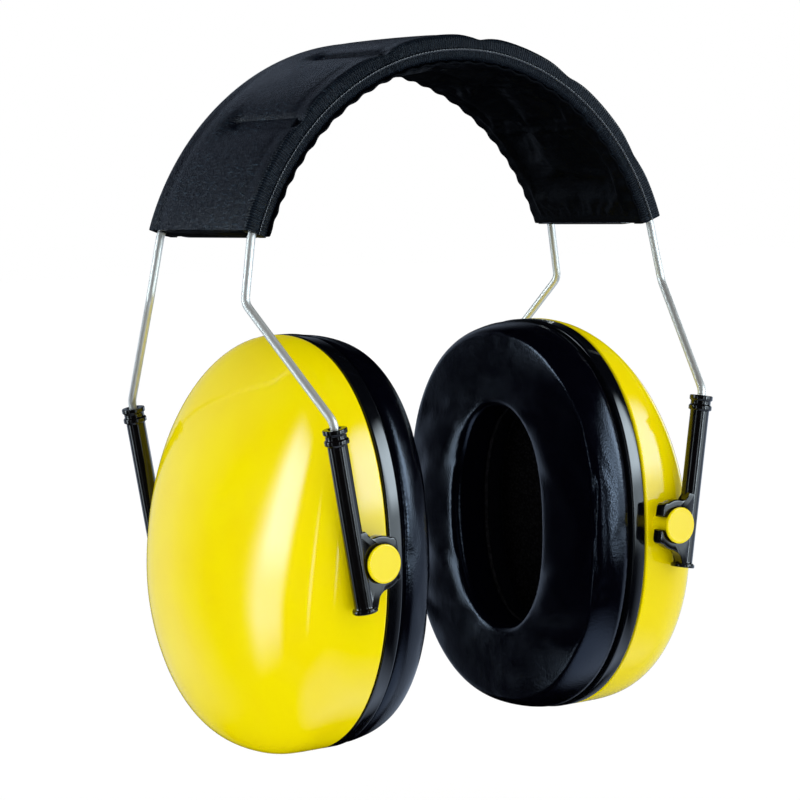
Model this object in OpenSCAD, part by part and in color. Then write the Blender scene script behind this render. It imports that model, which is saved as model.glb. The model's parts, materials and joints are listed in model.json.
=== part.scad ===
// Earmuff hearing protector with a padded headband, two sprung steel wires,
// four sliding wire holders and two tilting ear cups.
// The origin lies midway between the ear cups, on the line of their pivots.
// +Z points up through the crown of the band and +X to the right cup.

/* [Headband] */
// Radius of the band's outer face
band_r = 70.8; // [69:0.1:75]
// Height of the band's centre above the cup pivots
band_centre_z = 56; // [50:0.1:60]
// Angle from the crown to each end of the band
band_half_angle = 70.5; // [60:0.5:74]
// Width of the band from front to back
band_w = 45; // [44:0.1:50]
// Depth of the band at its padded middle
band_depth = 7.8; // [7.5:0.1:9.5]
// Height of the two stiff edges that hold the wires
band_edge_h = 6.7; // [5.2:0.1:7]
// Width of each stiff edge
band_edge_w = 4; // [3.6:0.1:5]
// Thickness of the outer cover
outer_cover_t = 1.2; // [0.9:0.1:1.6]
// Thickness of the inner cover
inner_cover_t = 0.8; // [0.6:0.1:1.2]
// Angle between the pressed grooves across the band
groove_step = 21; // [18:0.5:23]
// Depth of a pressed groove
groove_depth = 0.7; // [0.3:0.05:0.8]
// Length of a pressed groove
groove_len = 30; // [15:0.5:34]

/* [Spring wires] */
// Diameter of the steel wire
wire_d = 2.1; // [1.8:0.05:2.4]
// Depth of the wire's centre under the band's outer face
wire_depth = 3.2; // [2.9:0.05:3.6]
// Distance of the wire's centre from the band's side
wire_edge = 1.9; // [1.7:0.05:2.2]
// Drop from the band's end to the wire's kink
kink_drop = 16.5; // [12:0.5:20]
// How far the kink stands outward of the band's end
kink_out = 3.3; // [1:0.1:5]
// How far the kink stands to the side of the band's wire
kink_side = 1; // [0:0.1:3]
// Inner length of the straight leg, from its bend to its end
leg_len = 43.5; // [41:0.5:44.5]
// Radius of the bends
bend_r = 4; // [3:0.1:5]

/* [Wire holders] */
// Outer diameter of the holder's tube
tube_d = 4.9; // [4.5:0.1:5.3]
// Length of the tube above the cup's pivot
tube_above = 34.2; // [31:0.1:38]
// Length of the tube below the cup's pivot
tube_below = 10.8; // [10.4:0.1:13]
// Lean of the tube, in from top to bottom
tube_lean = 9.8; // [7:0.1:12]
// Distance of the tube's axis outward of the pivot
tube_offset = 5.45; // [5.2:0.05:6.2]
// Diameter of the two collar rings at the tube's mouth
collar_d = 6; // [5.8:0.1:6.6]
// Height of the stepped collar
collar_h = 3.8; // [3.2:0.1:5]
// Diameter of the flared foot
foot_d = 6.2; // [5.8:0.1:6.6]
// Outer diameter of the clip ring round the pivot
clip_d = 13.2; // [12.6:0.1:14.5]
// Thickness of the clip along the pivot
clip_t = 3; // [2.4:0.1:4.6]
// Reach of the clip's two jaws from the pivot
jaw_reach = 5.4; // [5.2:0.1:7]
// Height of each jaw's outer side above the pivot
jaw_h = 5.4; // [4.6:0.1:6]
// Height of the slot between the jaws
jaw_slot = 3.2; // [2.6:0.1:4]
// Radius of the hollow between the clip and the tube, above the pivot
web_r = 2.2; // [1.5:0.1:4]
// Radius of the hollow between the clip and the tube, below the pivot
web_foot_r = 3.8; // [2.5:0.1:4]

/* [Ear cups] */
// Height of the cup at its rim
cup_h = 105; // [98:0.2:112]
// Width of the cup at its rim
cup_w = 84.8; // [78:0.2:90]
// Depth of the shell, from its rim to its crown
cup_depth = 25.4; // [23:0.2:30]
// How far the crown lies below the pivot
crown_drop = 14.4; // [8:0.2:18]
// Wall of the shell
cup_wall = 2.4; // [1.8:0.1:3]
// Squareness of the cup's outline, where 2 is an ellipse
cup_square = 2.25; // [2:0.05:2.6]
// Distance of the pivot outward of the rim
pivot_out = 5.7; // [5:0.1:8]
// Diameter of the pivot stud's neck
neck_d = 8; // [7.2:0.1:8.6]
// Diameter of the pivot stud's head
head_d = 9.4; // [9:0.1:11]
// Thickness of the pivot stud's head
head_t = 0.9; // [0.6:0.1:1.4]

/* [Sealing cushions] */
// Gap between the two cushions, across the head
ear_gap = 52.4; // [44:0.2:60]
// Depth of the soft cushion
cushion_t = 11; // [10:0.5:15]
// How far the cushion's side stands in from the cup's outline
cushion_inset = 1; // [0.4:0.1:2]
// Width of the ear opening
ear_w = 33; // [28:1:40]
// Height of the ear opening
ear_h = 58; // [50:1:66]
// Thickness of the cushion's skin
skin_t = 0.9; // [0.7:0.1:1.2]
// Thickness of the liquid ring behind the sealing face
liquid_t = 2.6; // [1.5:0.1:3.2]
// Thickness of the plate that carries the cushion
plate_t = 4.1; // [3.4:0.1:6]
// Depth of the plate's collar inside the cup
plate_collar_h = 5; // [3:0.5:7]
// Wall of the plate's collar
plate_collar_t = 1.8; // [1.4:0.1:2.4]
// Thickness of the sound absorbing foam in the cup
absorber_t = 14; // [8:0.5:15]

/* [Clearances] */
// Radial clearance of the wire in its holder
slide_fit = 0.08; // [0.05:0.01:0.1]
// Radial clearance of the pivot stud in its clip
pivot_fit = 0.08; // [0.05:0.01:0.1]
// Gap between the cup's side and the holder's tube
arm_gap = 0.65; // [0.6:0.05:1.5]
// Gap between the stud's head and the tube behind it
head_gap = 0.3; // [0.25:0.05:0.6]
// Gap between pieces that are pushed or welded together
seat_gap = 0.15; // [0.1:0.05:0.25]
// Shadow gap between the cup's rim and the cushion's plate
rim_gap = 0.5; // [0.3:0.1:0.8]
// Gap between the cup's wall and the plate's collar inside it
collar_gap = 0.5; // [0.4:0.05:0.8]
// Gap between the cup's wall and the foam inside it
foam_gap = 0.7; // [0.6:0.05:1]
// Gap between the wire's bend and the holder's mouth
mouth_gap = 1.6; // [1.5:0.1:3]

/* [Hidden] */
$fn = 64;

// Places along X, from the head outward
seal_x = ear_gap / 2;
plate_x = seal_x + cushion_t;
rim_x = plate_x + plate_t + rim_gap;
pivot_x = rim_x + pivot_out;
crown_x = rim_x + cup_depth;

// Places along Y
arm_y = cup_w / 2 + arm_gap + tube_d / 2;
head_y = arm_y + tube_d / 2 + head_gap;
wire_y = band_w / 2 - wire_edge;
clip_sink = 0.15;
clip_out = (tube_d - clip_t) / 2 - clip_sink;

// Radii of the band about its centre line
wire_r = band_r - wire_depth;
seam_r = band_r - band_edge_h;
pocket_r = band_r - outer_cover_t;
pad_low_r = band_r - band_depth;
pocket_half = band_w / 2 - band_edge_w;
pad_half_angle = band_half_angle - 4;

// Small forms of the band: its rounded edges, the bar that presses a groove, the strip that
// closes each end, the laps of the welded flange and of that strip, and the padding's slanted end
edge_round = 1.2;
groove_bar_r = 3;
end_strip_t = 1.6;
flange_lap = 0.9;
strip_lap = 0.9;
pad_slant = 35;

// Straight run of the wire past the band's end, and its overlap with the leg
exit_run = 1.2;
leg_lap = 1.5;

// Small forms of the holder: its foot, its collar's rings and its rounded edges
foot_h = 0.9;
foot_slope = 0.9;
ring_h = 1.2;
ring_step = 0.15;
small_round = 0.3;
web_lap = 0.2;
mouth_sink = 0.8;
jaw_round = 1.3;

// Step round the plate's outer face, and its margin round the ear opening
plate_step = 1;
plate_margin = 1;

// Cushion's filling: its distance from the outside, its depth and the share that the liquid takes
filling_inset = skin_t + seat_gap;
filling_depth = cushion_t - filling_inset - seat_gap;
liquid_share = liquid_t / filling_depth;

// Sides of a swept wire, and points round a cup outline
wire_sides = 10;
outline_points = 44;
cup_rings = 9;

// Exponents that shape the dome and the padding
side_steepness = 1 / 5.7;
bottom_steepness = 1 / 4.4;
top_slant = 1 / 1.43;
crown_flatness = 1.7;
pad_square = 2.4;

// ---------------------------------------------------------------- vectors

function unit(v) = v / norm(v);
function signed_power(t, e) = sign(t) * pow(abs(t), e);

// Points of a round bend at corner, from the line before it to the line after it
function bend(before, corner, after, r, steps) =
    let (d0 = unit(corner - before), d1 = unit(after - corner),
         turn = acos(d0 * d1),
         start = corner - r * tan(turn / 2) * d0,
         side = unit(d1 - (d0 * d1) * d0),
         centre = start + r * side)
    [for (i = [0:steps]) let (a = turn * i / steps) centre - r * cos(a) * side + r * sin(a) * d0];

// Ring of points round a path point, square to the path
function ring_about(p, along, r, sides) =
    let (b = unit([0, 1, 0] - along[1] * along), n = cross(along, b))
    [for (i = [0:sides - 1]) let (a = 360 * i / sides) p + r * (cos(a) * b + sin(a) * n)];

// ---------------------------------------------------------------- surfaces

// Faces between rings of count points, joined round from the last ring to the first if closed
function skin_faces(rings, closed) =
    let (count = len(rings[0]), last = len(rings) - 1)
    [for (i = [0:last - (closed ? 0 : 1)]) for (j = [0:count - 1])
        let (a = i * count, b = ((i + 1) % (last + 1)) * count, k = (j + 1) % count)
        [a + j, b + j, b + k, a + k]];

// Solid through rings that all have the same number of points, with flat ends
module loft(rings) {
    count = len(rings[0]);
    last = (len(rings) - 1) * count;
    caps = [[for (j = [0:count - 1]) j], [for (j = [0:count - 1]) last + count - 1 - j]];
    polyhedron([for (r = rings) each r], concat(skin_faces(rings, false), caps), convexity = 10);
}

// Ring-shaped solid: the section goes round and meets itself
module ring_loft(rings) {
    polyhedron([for (r = rings) each r], [for (f = skin_faces(rings, true)) [f[3], f[2], f[1], f[0]]],
        convexity = 10);
}

// Solid whose last ring, and first ring where start_tip is given, closes to a point
module domed_loft(rings, end_tip, start_tip = undef) {
    count = len(rings[0]);
    last = (len(rings) - 1) * count;
    end_at = last + count;
    start = is_undef(start_tip) ? [[for (j = [0:count - 1]) j]]
        : [for (j = [0:count - 1]) [j, (j + 1) % count, end_at + 1]];
    end = [for (j = [0:count - 1]) [last + j, end_at, last + (j + 1) % count]];
    points = concat([for (r = rings) each r], [end_tip], is_undef(start_tip) ? [] : [start_tip]);
    polyhedron(points, concat(skin_faces(rings, false), start, end), convexity = 10);
}

// Cup outline at the place x, with its own half width and its reach above and below z0
function cup_ring(x, half_w, z0, up, down) =
    [for (i = [0:outline_points - 1])
        let (a = 360 * i / outline_points, s = signed_power(sin(a), 2 / cup_square))
        [x, half_w * signed_power(cos(a), 2 / cup_square), z0 + (s > 0 ? up : down) * s]];

// Flat outline of the same family, in Y and Z
function cup_outline(half_w, up, down) = [for (p = cup_ring(0, half_w, 0, up, down)) [p[1], p[2]]];

// Share of the dome's depth at y, z for an outline of the given half width and half height.
// The top slants back to the rim, the bottom and the sides stand steep.
function dome_share(y, z, half_w, half_h) =
    let (across = pow(max(0, 1 - pow(abs(z) / half_h, cup_square)), 1 / cup_square) * half_w,
         above = max(0, z + crown_drop) / (half_h + crown_drop),
         below = max(0, -z - crown_drop) / (half_h - crown_drop),
         side = across > abs(y) ? pow(1 - pow(y / across, 2), side_steepness) : 0)
    side * pow(1 - pow(min(1, above), crown_flatness), top_slant)
        * pow(1 - pow(min(1, below), crown_flatness), bottom_steepness);

// Height at which the slanting top of the dome, drawn in by inset, is still depth deep
function dome_top(depth, inset) =
    let (share = depth / (cup_depth - inset), reach = cup_h / 2 - inset + crown_drop)
    reach * pow(1 - pow(share, 1 / top_slant), 1 / crown_flatness) - crown_drop;

// Dome's ring number i, from the rim at 0 toward the crown, drawn in by inset
function dome_ring(i, inset) =
    let (share = sqrt(1 - pow(i / (cup_rings + 1), 1 / side_steepness)),
         half_w = cup_w / 2 - inset, half_h = cup_h / 2 - inset,
         flat = cup_ring(rim_x, half_w * share, -crown_drop * (1 - share), half_h * share, half_h * share))
    [for (p = flat) p + [i > 0 ? (cup_depth - inset) * dome_share(p[1], p[2], half_w, half_h) : 0, 0, 0]];

function dome_rings(inset) = [for (i = [0:cup_rings]) dome_ring(i, inset)];
function dome_tip(inset) = [rim_x + cup_depth - inset, 0, -crown_drop];

// ---------------------------------------------------------------- placing

module at_side(side) {
    if (side < 0) mirror([1, 0, 0]) children();
    else children();
}

// Turns a drawing of radius and width into a band about the crown's axis
module round_band(from_angle, to_angle) {
    translate([0, 0, band_centre_z]) rotate([90, 0, 0]) rotate([0, 0, 90 - to_angle])
        rotate_extrude(angle = to_angle - from_angle, $fn = 180) children();
}

// Extrudes a drawing of Y and Z along X, from x0 to x1
module along_x(x0, x1) {
    translate([x0, 0, 0]) rotate([90, 0, 90]) linear_extrude(x1 - x0) children();
}

// Holder's own frame: X across the tube, Y along the pivot, Z up the tube
module at_holder(side, end) {
    at_side(side) translate([pivot_x, end * arm_y, 0]) rotate([0, tube_lean, 0]) children();
}

// ---------------------------------------------------------------- headband

// Section of the padded bulge, drawn in by inset
module bulge_section(inset) {
    steps = 16;
    half = pocket_half - inset;
    low = [for (i = [0:steps]) let (y = -half + 2 * half * i / steps)
        [seam_r + inset - (seam_r - pad_low_r) * sqrt(1 - pow(abs(y) / half, pad_square)), y]];
    polygon(concat([[pocket_r - inset, half], [pocket_r - inset, -half]], low));
}

// Cuts the bulge off at a slant toward each end of the band
module end_slants(inset) {
    block = 3 * band_depth;
    for (side = [-1, 1])
        translate([0, 0, band_centre_z]) rotate([0, side * pad_half_angle, 0])
            translate([0, 0, pocket_r - inset]) rotate([0, side * pad_slant, 0])
                translate([side * (block / 2 - inset), 0, 0]) cube([block, band_w, 2 * block], center = true);
}

module bulge(inset) {
    difference() {
        round_band(-pad_half_angle, pad_half_angle) bulge_section(inset);
        end_slants(inset);
    }
}

// Bars that press the grooves, one for each step along the band, about the radius r
module groove_bars(r) {
    for (i = [-2:2])
        translate([0, 0, band_centre_z]) rotate([0, i * groove_step, 0])
            translate([0, 0, r]) rotate([90, 0, 0])
                cylinder(r = groove_bar_r, h = groove_len, center = true);
}

// Section of the band's stiff edges and cover before its pocket is cut: a strip with round corners
module cover_section() {
    low = seam_r + edge_round;
    high = band_r - edge_round;
    half = band_w / 2 - edge_round;
    translate([low, -band_w / 2]) square([high - low, band_w]);
    translate([seam_r, -half]) square([band_edge_h, 2 * half]);
    for (r = [low, high]) for (y = [-half, half]) translate([r, y]) circle(r = edge_round);
}

module headband_outer_cover() {
    color("#1c1d22") difference() {
        round_band(-band_half_angle, band_half_angle) difference() {
            cover_section();
            translate([seam_r - 1, -pocket_half]) square([pocket_r - seam_r + 1, 2 * pocket_half]);
            for (end = [-1, 1]) translate([wire_r, end * wire_y]) circle(d = wire_d + 2 * seat_gap);
        }
        groove_bars(band_r + groove_bar_r - groove_depth);
    }
}

module headband_inner_cover() {
    flange_out = band_w / 2 - edge_round;
    flange_in = pocket_half - flange_lap;
    strip_half = pocket_half - seat_gap;
    strip_start = pad_half_angle - band_half_angle - strip_lap;
    color("#26272d") union() {
        difference() {
            bulge(seat_gap);
            bulge(seat_gap + inner_cover_t);
            groove_bars(pad_low_r - groove_bar_r + groove_depth);
        }
        // Flange that is welded under the stiff edges
        round_band(-band_half_angle, band_half_angle)
            for (end = [-1, 1]) translate([seam_r - inner_cover_t, end > 0 ? flange_in : -flange_out])
                square([inner_cover_t, flange_out - flange_in]);
        // Strip that closes each end
        for (side = [-1, 1])
            translate([0, 0, band_centre_z]) rotate([0, side * band_half_angle, 0])
                translate([0, 0, -band_centre_z])
                    round_band(side > 0 ? strip_start : 0, side > 0 ? 0 : -strip_start)
                        translate([pocket_r - seat_gap - end_strip_t, -strip_half])
                            square([end_strip_t, 2 * strip_half]);
    }
}

module headband_foam_pad() {
    color("#3a3b40") bulge(inner_cover_t + 2 * seat_gap);
}

// ---------------------------------------------------------------- wires

// Frame of the leg, worked out as vectors for the right side
function leg_up() = [sin(tube_lean), 0, cos(tube_lean)];
function leg_foot(end) = [pivot_x + tube_offset * cos(tube_lean), end * arm_y, -tube_offset * sin(tube_lean)];
function leg_top(end) = leg_foot(end) + (tube_above + mouth_gap) * leg_up();
function kink(end) = band_exit(end) + [kink_out, end * kink_side, -kink_drop];

// Length of the leg that its bend takes up
function leg_bend() = bend_r * tan(acos(unit(kink(1) - leg_top(1)) * leg_up()) / 2);

// Point and heading of the wire where the band ends
function band_exit(end) = [wire_r * sin(band_half_angle), end * wire_y,
    band_centre_z + wire_r * cos(band_half_angle)];
function exit_heading() = [cos(band_half_angle), 0, -sin(band_half_angle)];

// Right half of a wire, from beside the crown down to the top of its leg
function half_path(end) =
    let (corner_a = band_exit(end) + exit_run * exit_heading(),
         corner_b = kink(end),
         corner_c = leg_top(end),
         steps = 10)
    concat(
        [for (i = [1:steps]) let (a = band_half_angle * i / steps)
            [wire_r * sin(a), end * wire_y, band_centre_z + wire_r * cos(a)]],
        bend(band_exit(end), corner_a, corner_b, bend_r, 2),
        bend(corner_a, corner_b, corner_c, bend_r, 4),
        bend(corner_b, corner_c, leg_foot(end), bend_r, 5),
        [corner_c - (leg_bend() + leg_lap) * leg_up()]
    );

module spring_wire(end) {
    right = half_path(end);
    left = [for (i = [len(right) - 1:-1:0]) [-right[i][0], right[i][1], right[i][2]]];
    path = concat(left, [[0, end * wire_y, band_centre_z + wire_r]], right);
    last = len(path) - 1;
    rings = [for (i = [0:last])
        ring_about(path[i], unit(path[min(i + 1, last)] - path[max(i - 1, 0)]), 0.49 * wire_d, wire_sides)];
    color("#c9cacc") union() {
        loft(rings);
        for (side = [-1, 1]) at_holder(side, end)
            translate([tube_offset, 0, tube_above + mouth_gap - leg_len])
                cylinder(d = wire_d, h = leg_len - leg_bend() - 0.1);
    }
}

// ---------------------------------------------------------------- holders

// Side view of the tube: flared foot, plain barrel and stepped collar
module tube_profile() {
    r = tube_d / 2;
    top = tube_above;
    low = top - collar_h;
    wide = collar_d / 2;
    polygon([
        [0, -tube_below], [foot_d / 2, -tube_below], [foot_d / 2, -tube_below + foot_h],
        [r, -tube_below + foot_h + foot_slope], [r, low], [wide, low + small_round], [wide, low + ring_h],
        [r + ring_step, low + ring_h + small_round], [r + ring_step, top - ring_h - small_round],
        [wide, top - ring_h], [wide, top - small_round], [wide - small_round, top], [0, top]
    ]);
}

// Side view of the clip: a ring with two jaws, blended into the tube by a hollow above and below
module clip_outline() {
    tube_edge = tube_offset - tube_d / 2 + web_lap;
    difference() {
        union() {
            circle(d = clip_d);
            for (end = [-1, 1]) {
                hollow_r = end > 0 ? web_r : web_foot_r;
                hollow_x = tube_edge - hollow_r;
                hollow_z = sqrt(pow(clip_d / 2 + hollow_r, 2) - pow(hollow_x, 2));
                difference() {
                    translate([0, min(0, end * hollow_z)]) square([tube_offset, hollow_z]);
                    translate([hollow_x, end * hollow_z]) circle(r = hollow_r);
                }
            }
            translate([-jaw_reach + jaw_round, -jaw_h]) square([jaw_reach - jaw_round, 2 * jaw_h]);
            translate([-jaw_reach, -jaw_h + jaw_round]) square([jaw_reach, 2 * (jaw_h - jaw_round)]);
            for (end = [-1, 1]) translate([-jaw_reach + jaw_round, end * (jaw_h - jaw_round)])
                circle(r = jaw_round);
        }
        translate([-jaw_reach - 1, -jaw_slot / 2]) square([jaw_reach + 1, jaw_slot]);
        // The ring ends with the jaws
        translate([-jaw_reach - clip_d, -clip_d]) square([clip_d, 2 * clip_d]);
    }
}

module wire_holder(side, end) {
    bore_d = wire_d + 2 * slide_fit;
    color("#17181c") at_holder(side, end) difference() {
        union() {
            translate([tube_offset, 0, 0]) rotate_extrude() tube_profile();
            translate([0, end * clip_out, 0])
                rotate([90, 0, 0]) linear_extrude(clip_t, center = true) clip_outline();
        }
        // Bore for the wire, open at both ends, with a countersunk mouth
        translate([tube_offset, 0, -tube_below - 1]) cylinder(d = bore_d, h = tube_above + tube_below + 2);
        translate([tube_offset, 0, tube_above - mouth_sink])
            cylinder(d1 = bore_d, d2 = bore_d + 2 * mouth_sink, h = mouth_sink + 0.01);
        // Bearing for the cup's stud
        rotate([90, 0, 0]) cylinder(d = neck_d + 2 * pivot_fit, h = tube_d + 2, center = true);
    }
}

// ---------------------------------------------------------------- ear cups

// Pivot stud, standing out of the cup's side: neck and round head
module pivot_stud(end) {
    root_y = (cup_w - cup_wall) / 2;
    translate([pivot_x, 0, 0]) rotate([end > 0 ? -90 : 90, 0, 0])
        rotate_extrude() polygon([
            [0, root_y], [neck_d / 2, root_y], [neck_d / 2, head_y],
            [head_d / 2, head_y], [head_d / 2, head_y + head_t - small_round],
            [head_d / 2 - small_round, head_y + head_t], [0, head_y + head_t]
        ]);
}

module cup_shell(side) {
    inner = dome_rings(cup_wall);
    inside_out = [for (i = [len(inner) - 1:-1:0]) inner[i]];
    color("#f1e312") at_side(side) union() {
        domed_loft(concat(inside_out, dome_rings(0)), dome_tip(0), dome_tip(cup_wall));
        for (end = [-1, 1]) pivot_stud(end);
    }
}

// Foam liner that fills the crown of the cup
module absorber_foam(side) {
    inset = cup_wall + foam_gap;
    color("#2b2c30") at_side(side) intersection() {
        domed_loft(dome_rings(inset), dome_tip(inset));
        translate([crown_x - cup_wall - absorber_t, -cup_w / 2, -cup_h / 2]) cube([cup_depth, cup_w, cup_h]);
    }
}

// ---------------------------------------------------------------- cushions

module cushion_plate(side) {
    half_w = cup_w / 2;
    half_h = cup_h / 2;
    collar_in = cup_wall + collar_gap;
    wall = plate_collar_t;
    mouth_h = ear_h / 2 + plate_margin;
    // Collar's reach up, where the cup's top slants, and down
    up = dome_top(plate_collar_h + collar_gap, collar_in);
    down = half_h - collar_in;
    color("#101114") at_side(side) difference() {
        union() {
            along_x(plate_x, plate_x + plate_t) polygon(cup_outline(half_w, half_h, half_h));
            along_x(plate_x + plate_t, rim_x)
                polygon(cup_outline(half_w - plate_step, half_h - plate_step, half_h - plate_step));
            along_x(rim_x, rim_x + plate_collar_h) difference() {
                polygon(cup_outline(half_w - collar_in, up, down));
                polygon(cup_outline(half_w - collar_in - wall, up - wall, down - wall));
            }
        }
        along_x(plate_x - 1, rim_x + 1) polygon(cup_outline(ear_w / 2 + plate_margin, mouth_h, mouth_h));
    }
}

// Ring between the cushion's outer outline (share 0) and the ear opening (share 1)
function cushion_ring(x, share, inset) =
    let (out_w = cup_w / 2 - cushion_inset - inset, out_h = cup_h / 2 - cushion_inset - inset,
         in_w = ear_w / 2 + inset, in_h = ear_h / 2 + inset)
    cup_ring(x, out_w + (in_w - out_w) * share, 0, out_h + (in_h - out_h) * share,
        out_h + (in_h - out_h) * share);

// Width share of the cushion's outer and inner sides against depth share
outer_side = [[0, 0.28], [0.05, 0.13], [0.2, 0.035], [0.45, 0], [1, 0]];
inner_side = [[0, 0.7], [0.06, 0.86], [0.25, 0.97], [0.5, 1], [1, 1]];

// Section between two depth shares: in along the outer side, out along the inner side
function cushion_section(from, to) =
    concat([[to, lookup(to, outer_side)]],
        [for (i = [len(outer_side) - 1:-1:0])
            if (outer_side[i][0] > from && outer_side[i][0] < to) outer_side[i]],
        [[from, lookup(from, outer_side)], [from, lookup(from, inner_side)]],
        [for (p = inner_side) if (p[0] > from && p[0] < to) p],
        [[to, lookup(to, inner_side)]]);

// Cushion's section as rings, set back from its outside by inset
function cushion_rings(from, to, inset) =
    let (front = seal_x + inset, back = plate_x - seat_gap)
    [for (p = cushion_section(from, to)) cushion_ring(front + p[0] * (back - front), p[1], inset)];

module cushion_cover(side) {
    inside = cushion_rings(0, 1, skin_t);
    color("#17181d") at_side(side)
        ring_loft(concat(cushion_rings(0, 1, 0), [for (i = [len(inside) - 1:-1:0]) inside[i]]));
}

module cushion_liquid_ring(side) {
    color("#5a6f86") at_side(side) ring_loft(cushion_rings(0, liquid_share, filling_inset));
}

module cushion_foam_ring(side) {
    color("#4a4b50") at_side(side)
        ring_loft(cushion_rings(liquid_share + seat_gap / filling_depth, 1, filling_inset));
}

// ---------------------------------------------------------------- nodes

headband_outer_cover();
headband_inner_cover();
headband_foam_pad();
spring_wire(-1);  // front_spring_wire
spring_wire(1);  // back_spring_wire
cup_shell(-1);  // left_cup_shell
absorber_foam(-1);  // left_absorber_foam
cushion_plate(-1);  // left_cushion_plate
cushion_cover(-1);  // left_cushion_cover
cushion_foam_ring(-1);  // left_cushion_foam_ring
cushion_liquid_ring(-1);  // left_cushion_liquid_ring
wire_holder(-1, -1);  // left_front_wire_holder
wire_holder(-1, 1);  // left_back_wire_holder
cup_shell(1);  // right_cup_shell
absorber_foam(1);  // right_absorber_foam
cushion_plate(1);  // right_cushion_plate
cushion_cover(1);  // right_cushion_cover
cushion_foam_ring(1);  // right_cushion_foam_ring
cushion_liquid_ring(1);  // right_cushion_liquid_ring
wire_holder(1, -1);  // right_front_wire_holder
wire_holder(1, 1);  // right_back_wire_holder
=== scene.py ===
"""Looks of an over-the-head earmuff hearing protector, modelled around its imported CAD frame.

All lengths are in metres, in the CAD's frame: +Z up through the crown of the band, +X to the right
cup, -Y to the front wire, with the origin midway between the cups on their pivot line.
"""
import json
import math

import bmesh
import bpy
import numpy as np
from bpy.props import FloatProperty, FloatVectorProperty, PointerProperty
from mathutils import Matrix, Vector
from mathutils.bvhtree import BVHTree

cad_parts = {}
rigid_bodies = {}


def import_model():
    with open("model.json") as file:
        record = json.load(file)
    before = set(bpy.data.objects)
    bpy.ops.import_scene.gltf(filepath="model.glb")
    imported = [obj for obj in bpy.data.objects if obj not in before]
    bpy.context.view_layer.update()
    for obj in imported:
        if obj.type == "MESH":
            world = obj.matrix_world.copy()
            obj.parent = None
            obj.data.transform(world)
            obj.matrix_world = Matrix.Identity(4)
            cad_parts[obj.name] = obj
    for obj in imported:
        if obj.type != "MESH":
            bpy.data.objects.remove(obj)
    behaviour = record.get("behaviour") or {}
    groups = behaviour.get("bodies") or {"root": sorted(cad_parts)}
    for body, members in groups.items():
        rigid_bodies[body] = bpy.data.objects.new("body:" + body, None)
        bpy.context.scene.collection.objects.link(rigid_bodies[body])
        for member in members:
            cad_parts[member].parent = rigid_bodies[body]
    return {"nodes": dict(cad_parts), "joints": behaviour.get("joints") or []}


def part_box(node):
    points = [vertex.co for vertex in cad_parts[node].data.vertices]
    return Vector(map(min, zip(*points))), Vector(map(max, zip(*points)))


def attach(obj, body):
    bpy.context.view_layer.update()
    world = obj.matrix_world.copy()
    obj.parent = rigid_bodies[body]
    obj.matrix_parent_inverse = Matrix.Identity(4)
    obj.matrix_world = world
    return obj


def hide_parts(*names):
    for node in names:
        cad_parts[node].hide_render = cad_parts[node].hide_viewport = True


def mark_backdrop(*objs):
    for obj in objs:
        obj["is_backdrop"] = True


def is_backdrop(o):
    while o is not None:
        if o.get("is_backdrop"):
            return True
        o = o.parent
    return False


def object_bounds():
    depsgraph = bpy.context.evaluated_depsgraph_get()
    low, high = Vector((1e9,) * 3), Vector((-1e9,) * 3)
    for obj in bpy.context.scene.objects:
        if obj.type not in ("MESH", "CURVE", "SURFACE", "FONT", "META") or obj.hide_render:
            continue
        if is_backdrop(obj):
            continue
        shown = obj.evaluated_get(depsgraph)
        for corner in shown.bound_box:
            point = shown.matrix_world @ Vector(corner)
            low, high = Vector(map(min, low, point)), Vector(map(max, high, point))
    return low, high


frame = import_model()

bl_info = {
    "name": "Earmuff hearing protector",
    "version": (1, 0, 0),
    "blender": (4, 5, 0),
    "location": "View3D > Sidebar > Earmuff",
    "description": "Builds the looks of an earmuff with a padded band, sprung wires and tilting cups",
    "category": "Object",
}

MM = 0.001
SIDES = {"left": -1, "right": 1}
ENDS = {"front": -1, "back": 1}

# Boxes of the CAD nodes that the sizes below come from
BAND_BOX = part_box("headband_outer_cover")
SHELL_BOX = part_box("right_cup_shell")
PLATE_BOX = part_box("right_cushion_plate")
CUSHION_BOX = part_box("right_cushion_cover")
FOAM_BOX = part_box("right_absorber_foam")
HOLDER_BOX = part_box("right_front_wire_holder")
CAD_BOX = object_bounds()
TILT = next(joint for joint in frame["joints"] if joint["name"] == "right_cup_tilt")

# The band's arc, from half its width at the ends and the height of its crown
BAND_HALF_DEGREES = 70.5
BAND_R = BAND_BOX[1].x / math.sin(math.radians(BAND_HALF_DEGREES))
BAND_CENTRE_Z = BAND_BOX[1].z - BAND_R

# Points read in the 800 x 800 photograph, in pixels. The camera is settled by the ends of the object,
# the studs, the kinks and the mouths of the holders; seams and welds are placed by the rest.
IMAGE_POINTS = {
    "object_left": (123.5, None),
    "object_right": (711.0, None),
    "object_top": (None, 37.5),
    "object_bottom": (None, 751.0),
    "left_stud": (384.0, 564.3),
    "right_stud": (679.1, 524.7),
    "left_front_kink": (245.5, 299.0),
    "left_back_kink": (150.5, 300.0),
    "right_front_kink": (662.0, 284.0),
    "right_back_kink": (558.3, 279.0),
    "left_front_mouth": (333.0, 431.0),
    "right_front_mouth": (699.0, 394.0),
    "crown_groove": (351.0, 55.0),
    "second_groove": (264.0, 120.5),
    "edge_weld": (286.0, 165.5),
    "lining_end_weld": (600.0, 216.5),
    "lining_groove": (548.0, 125.0),
}
PICTURE_W = 800
PICTURE_H = 800

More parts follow.
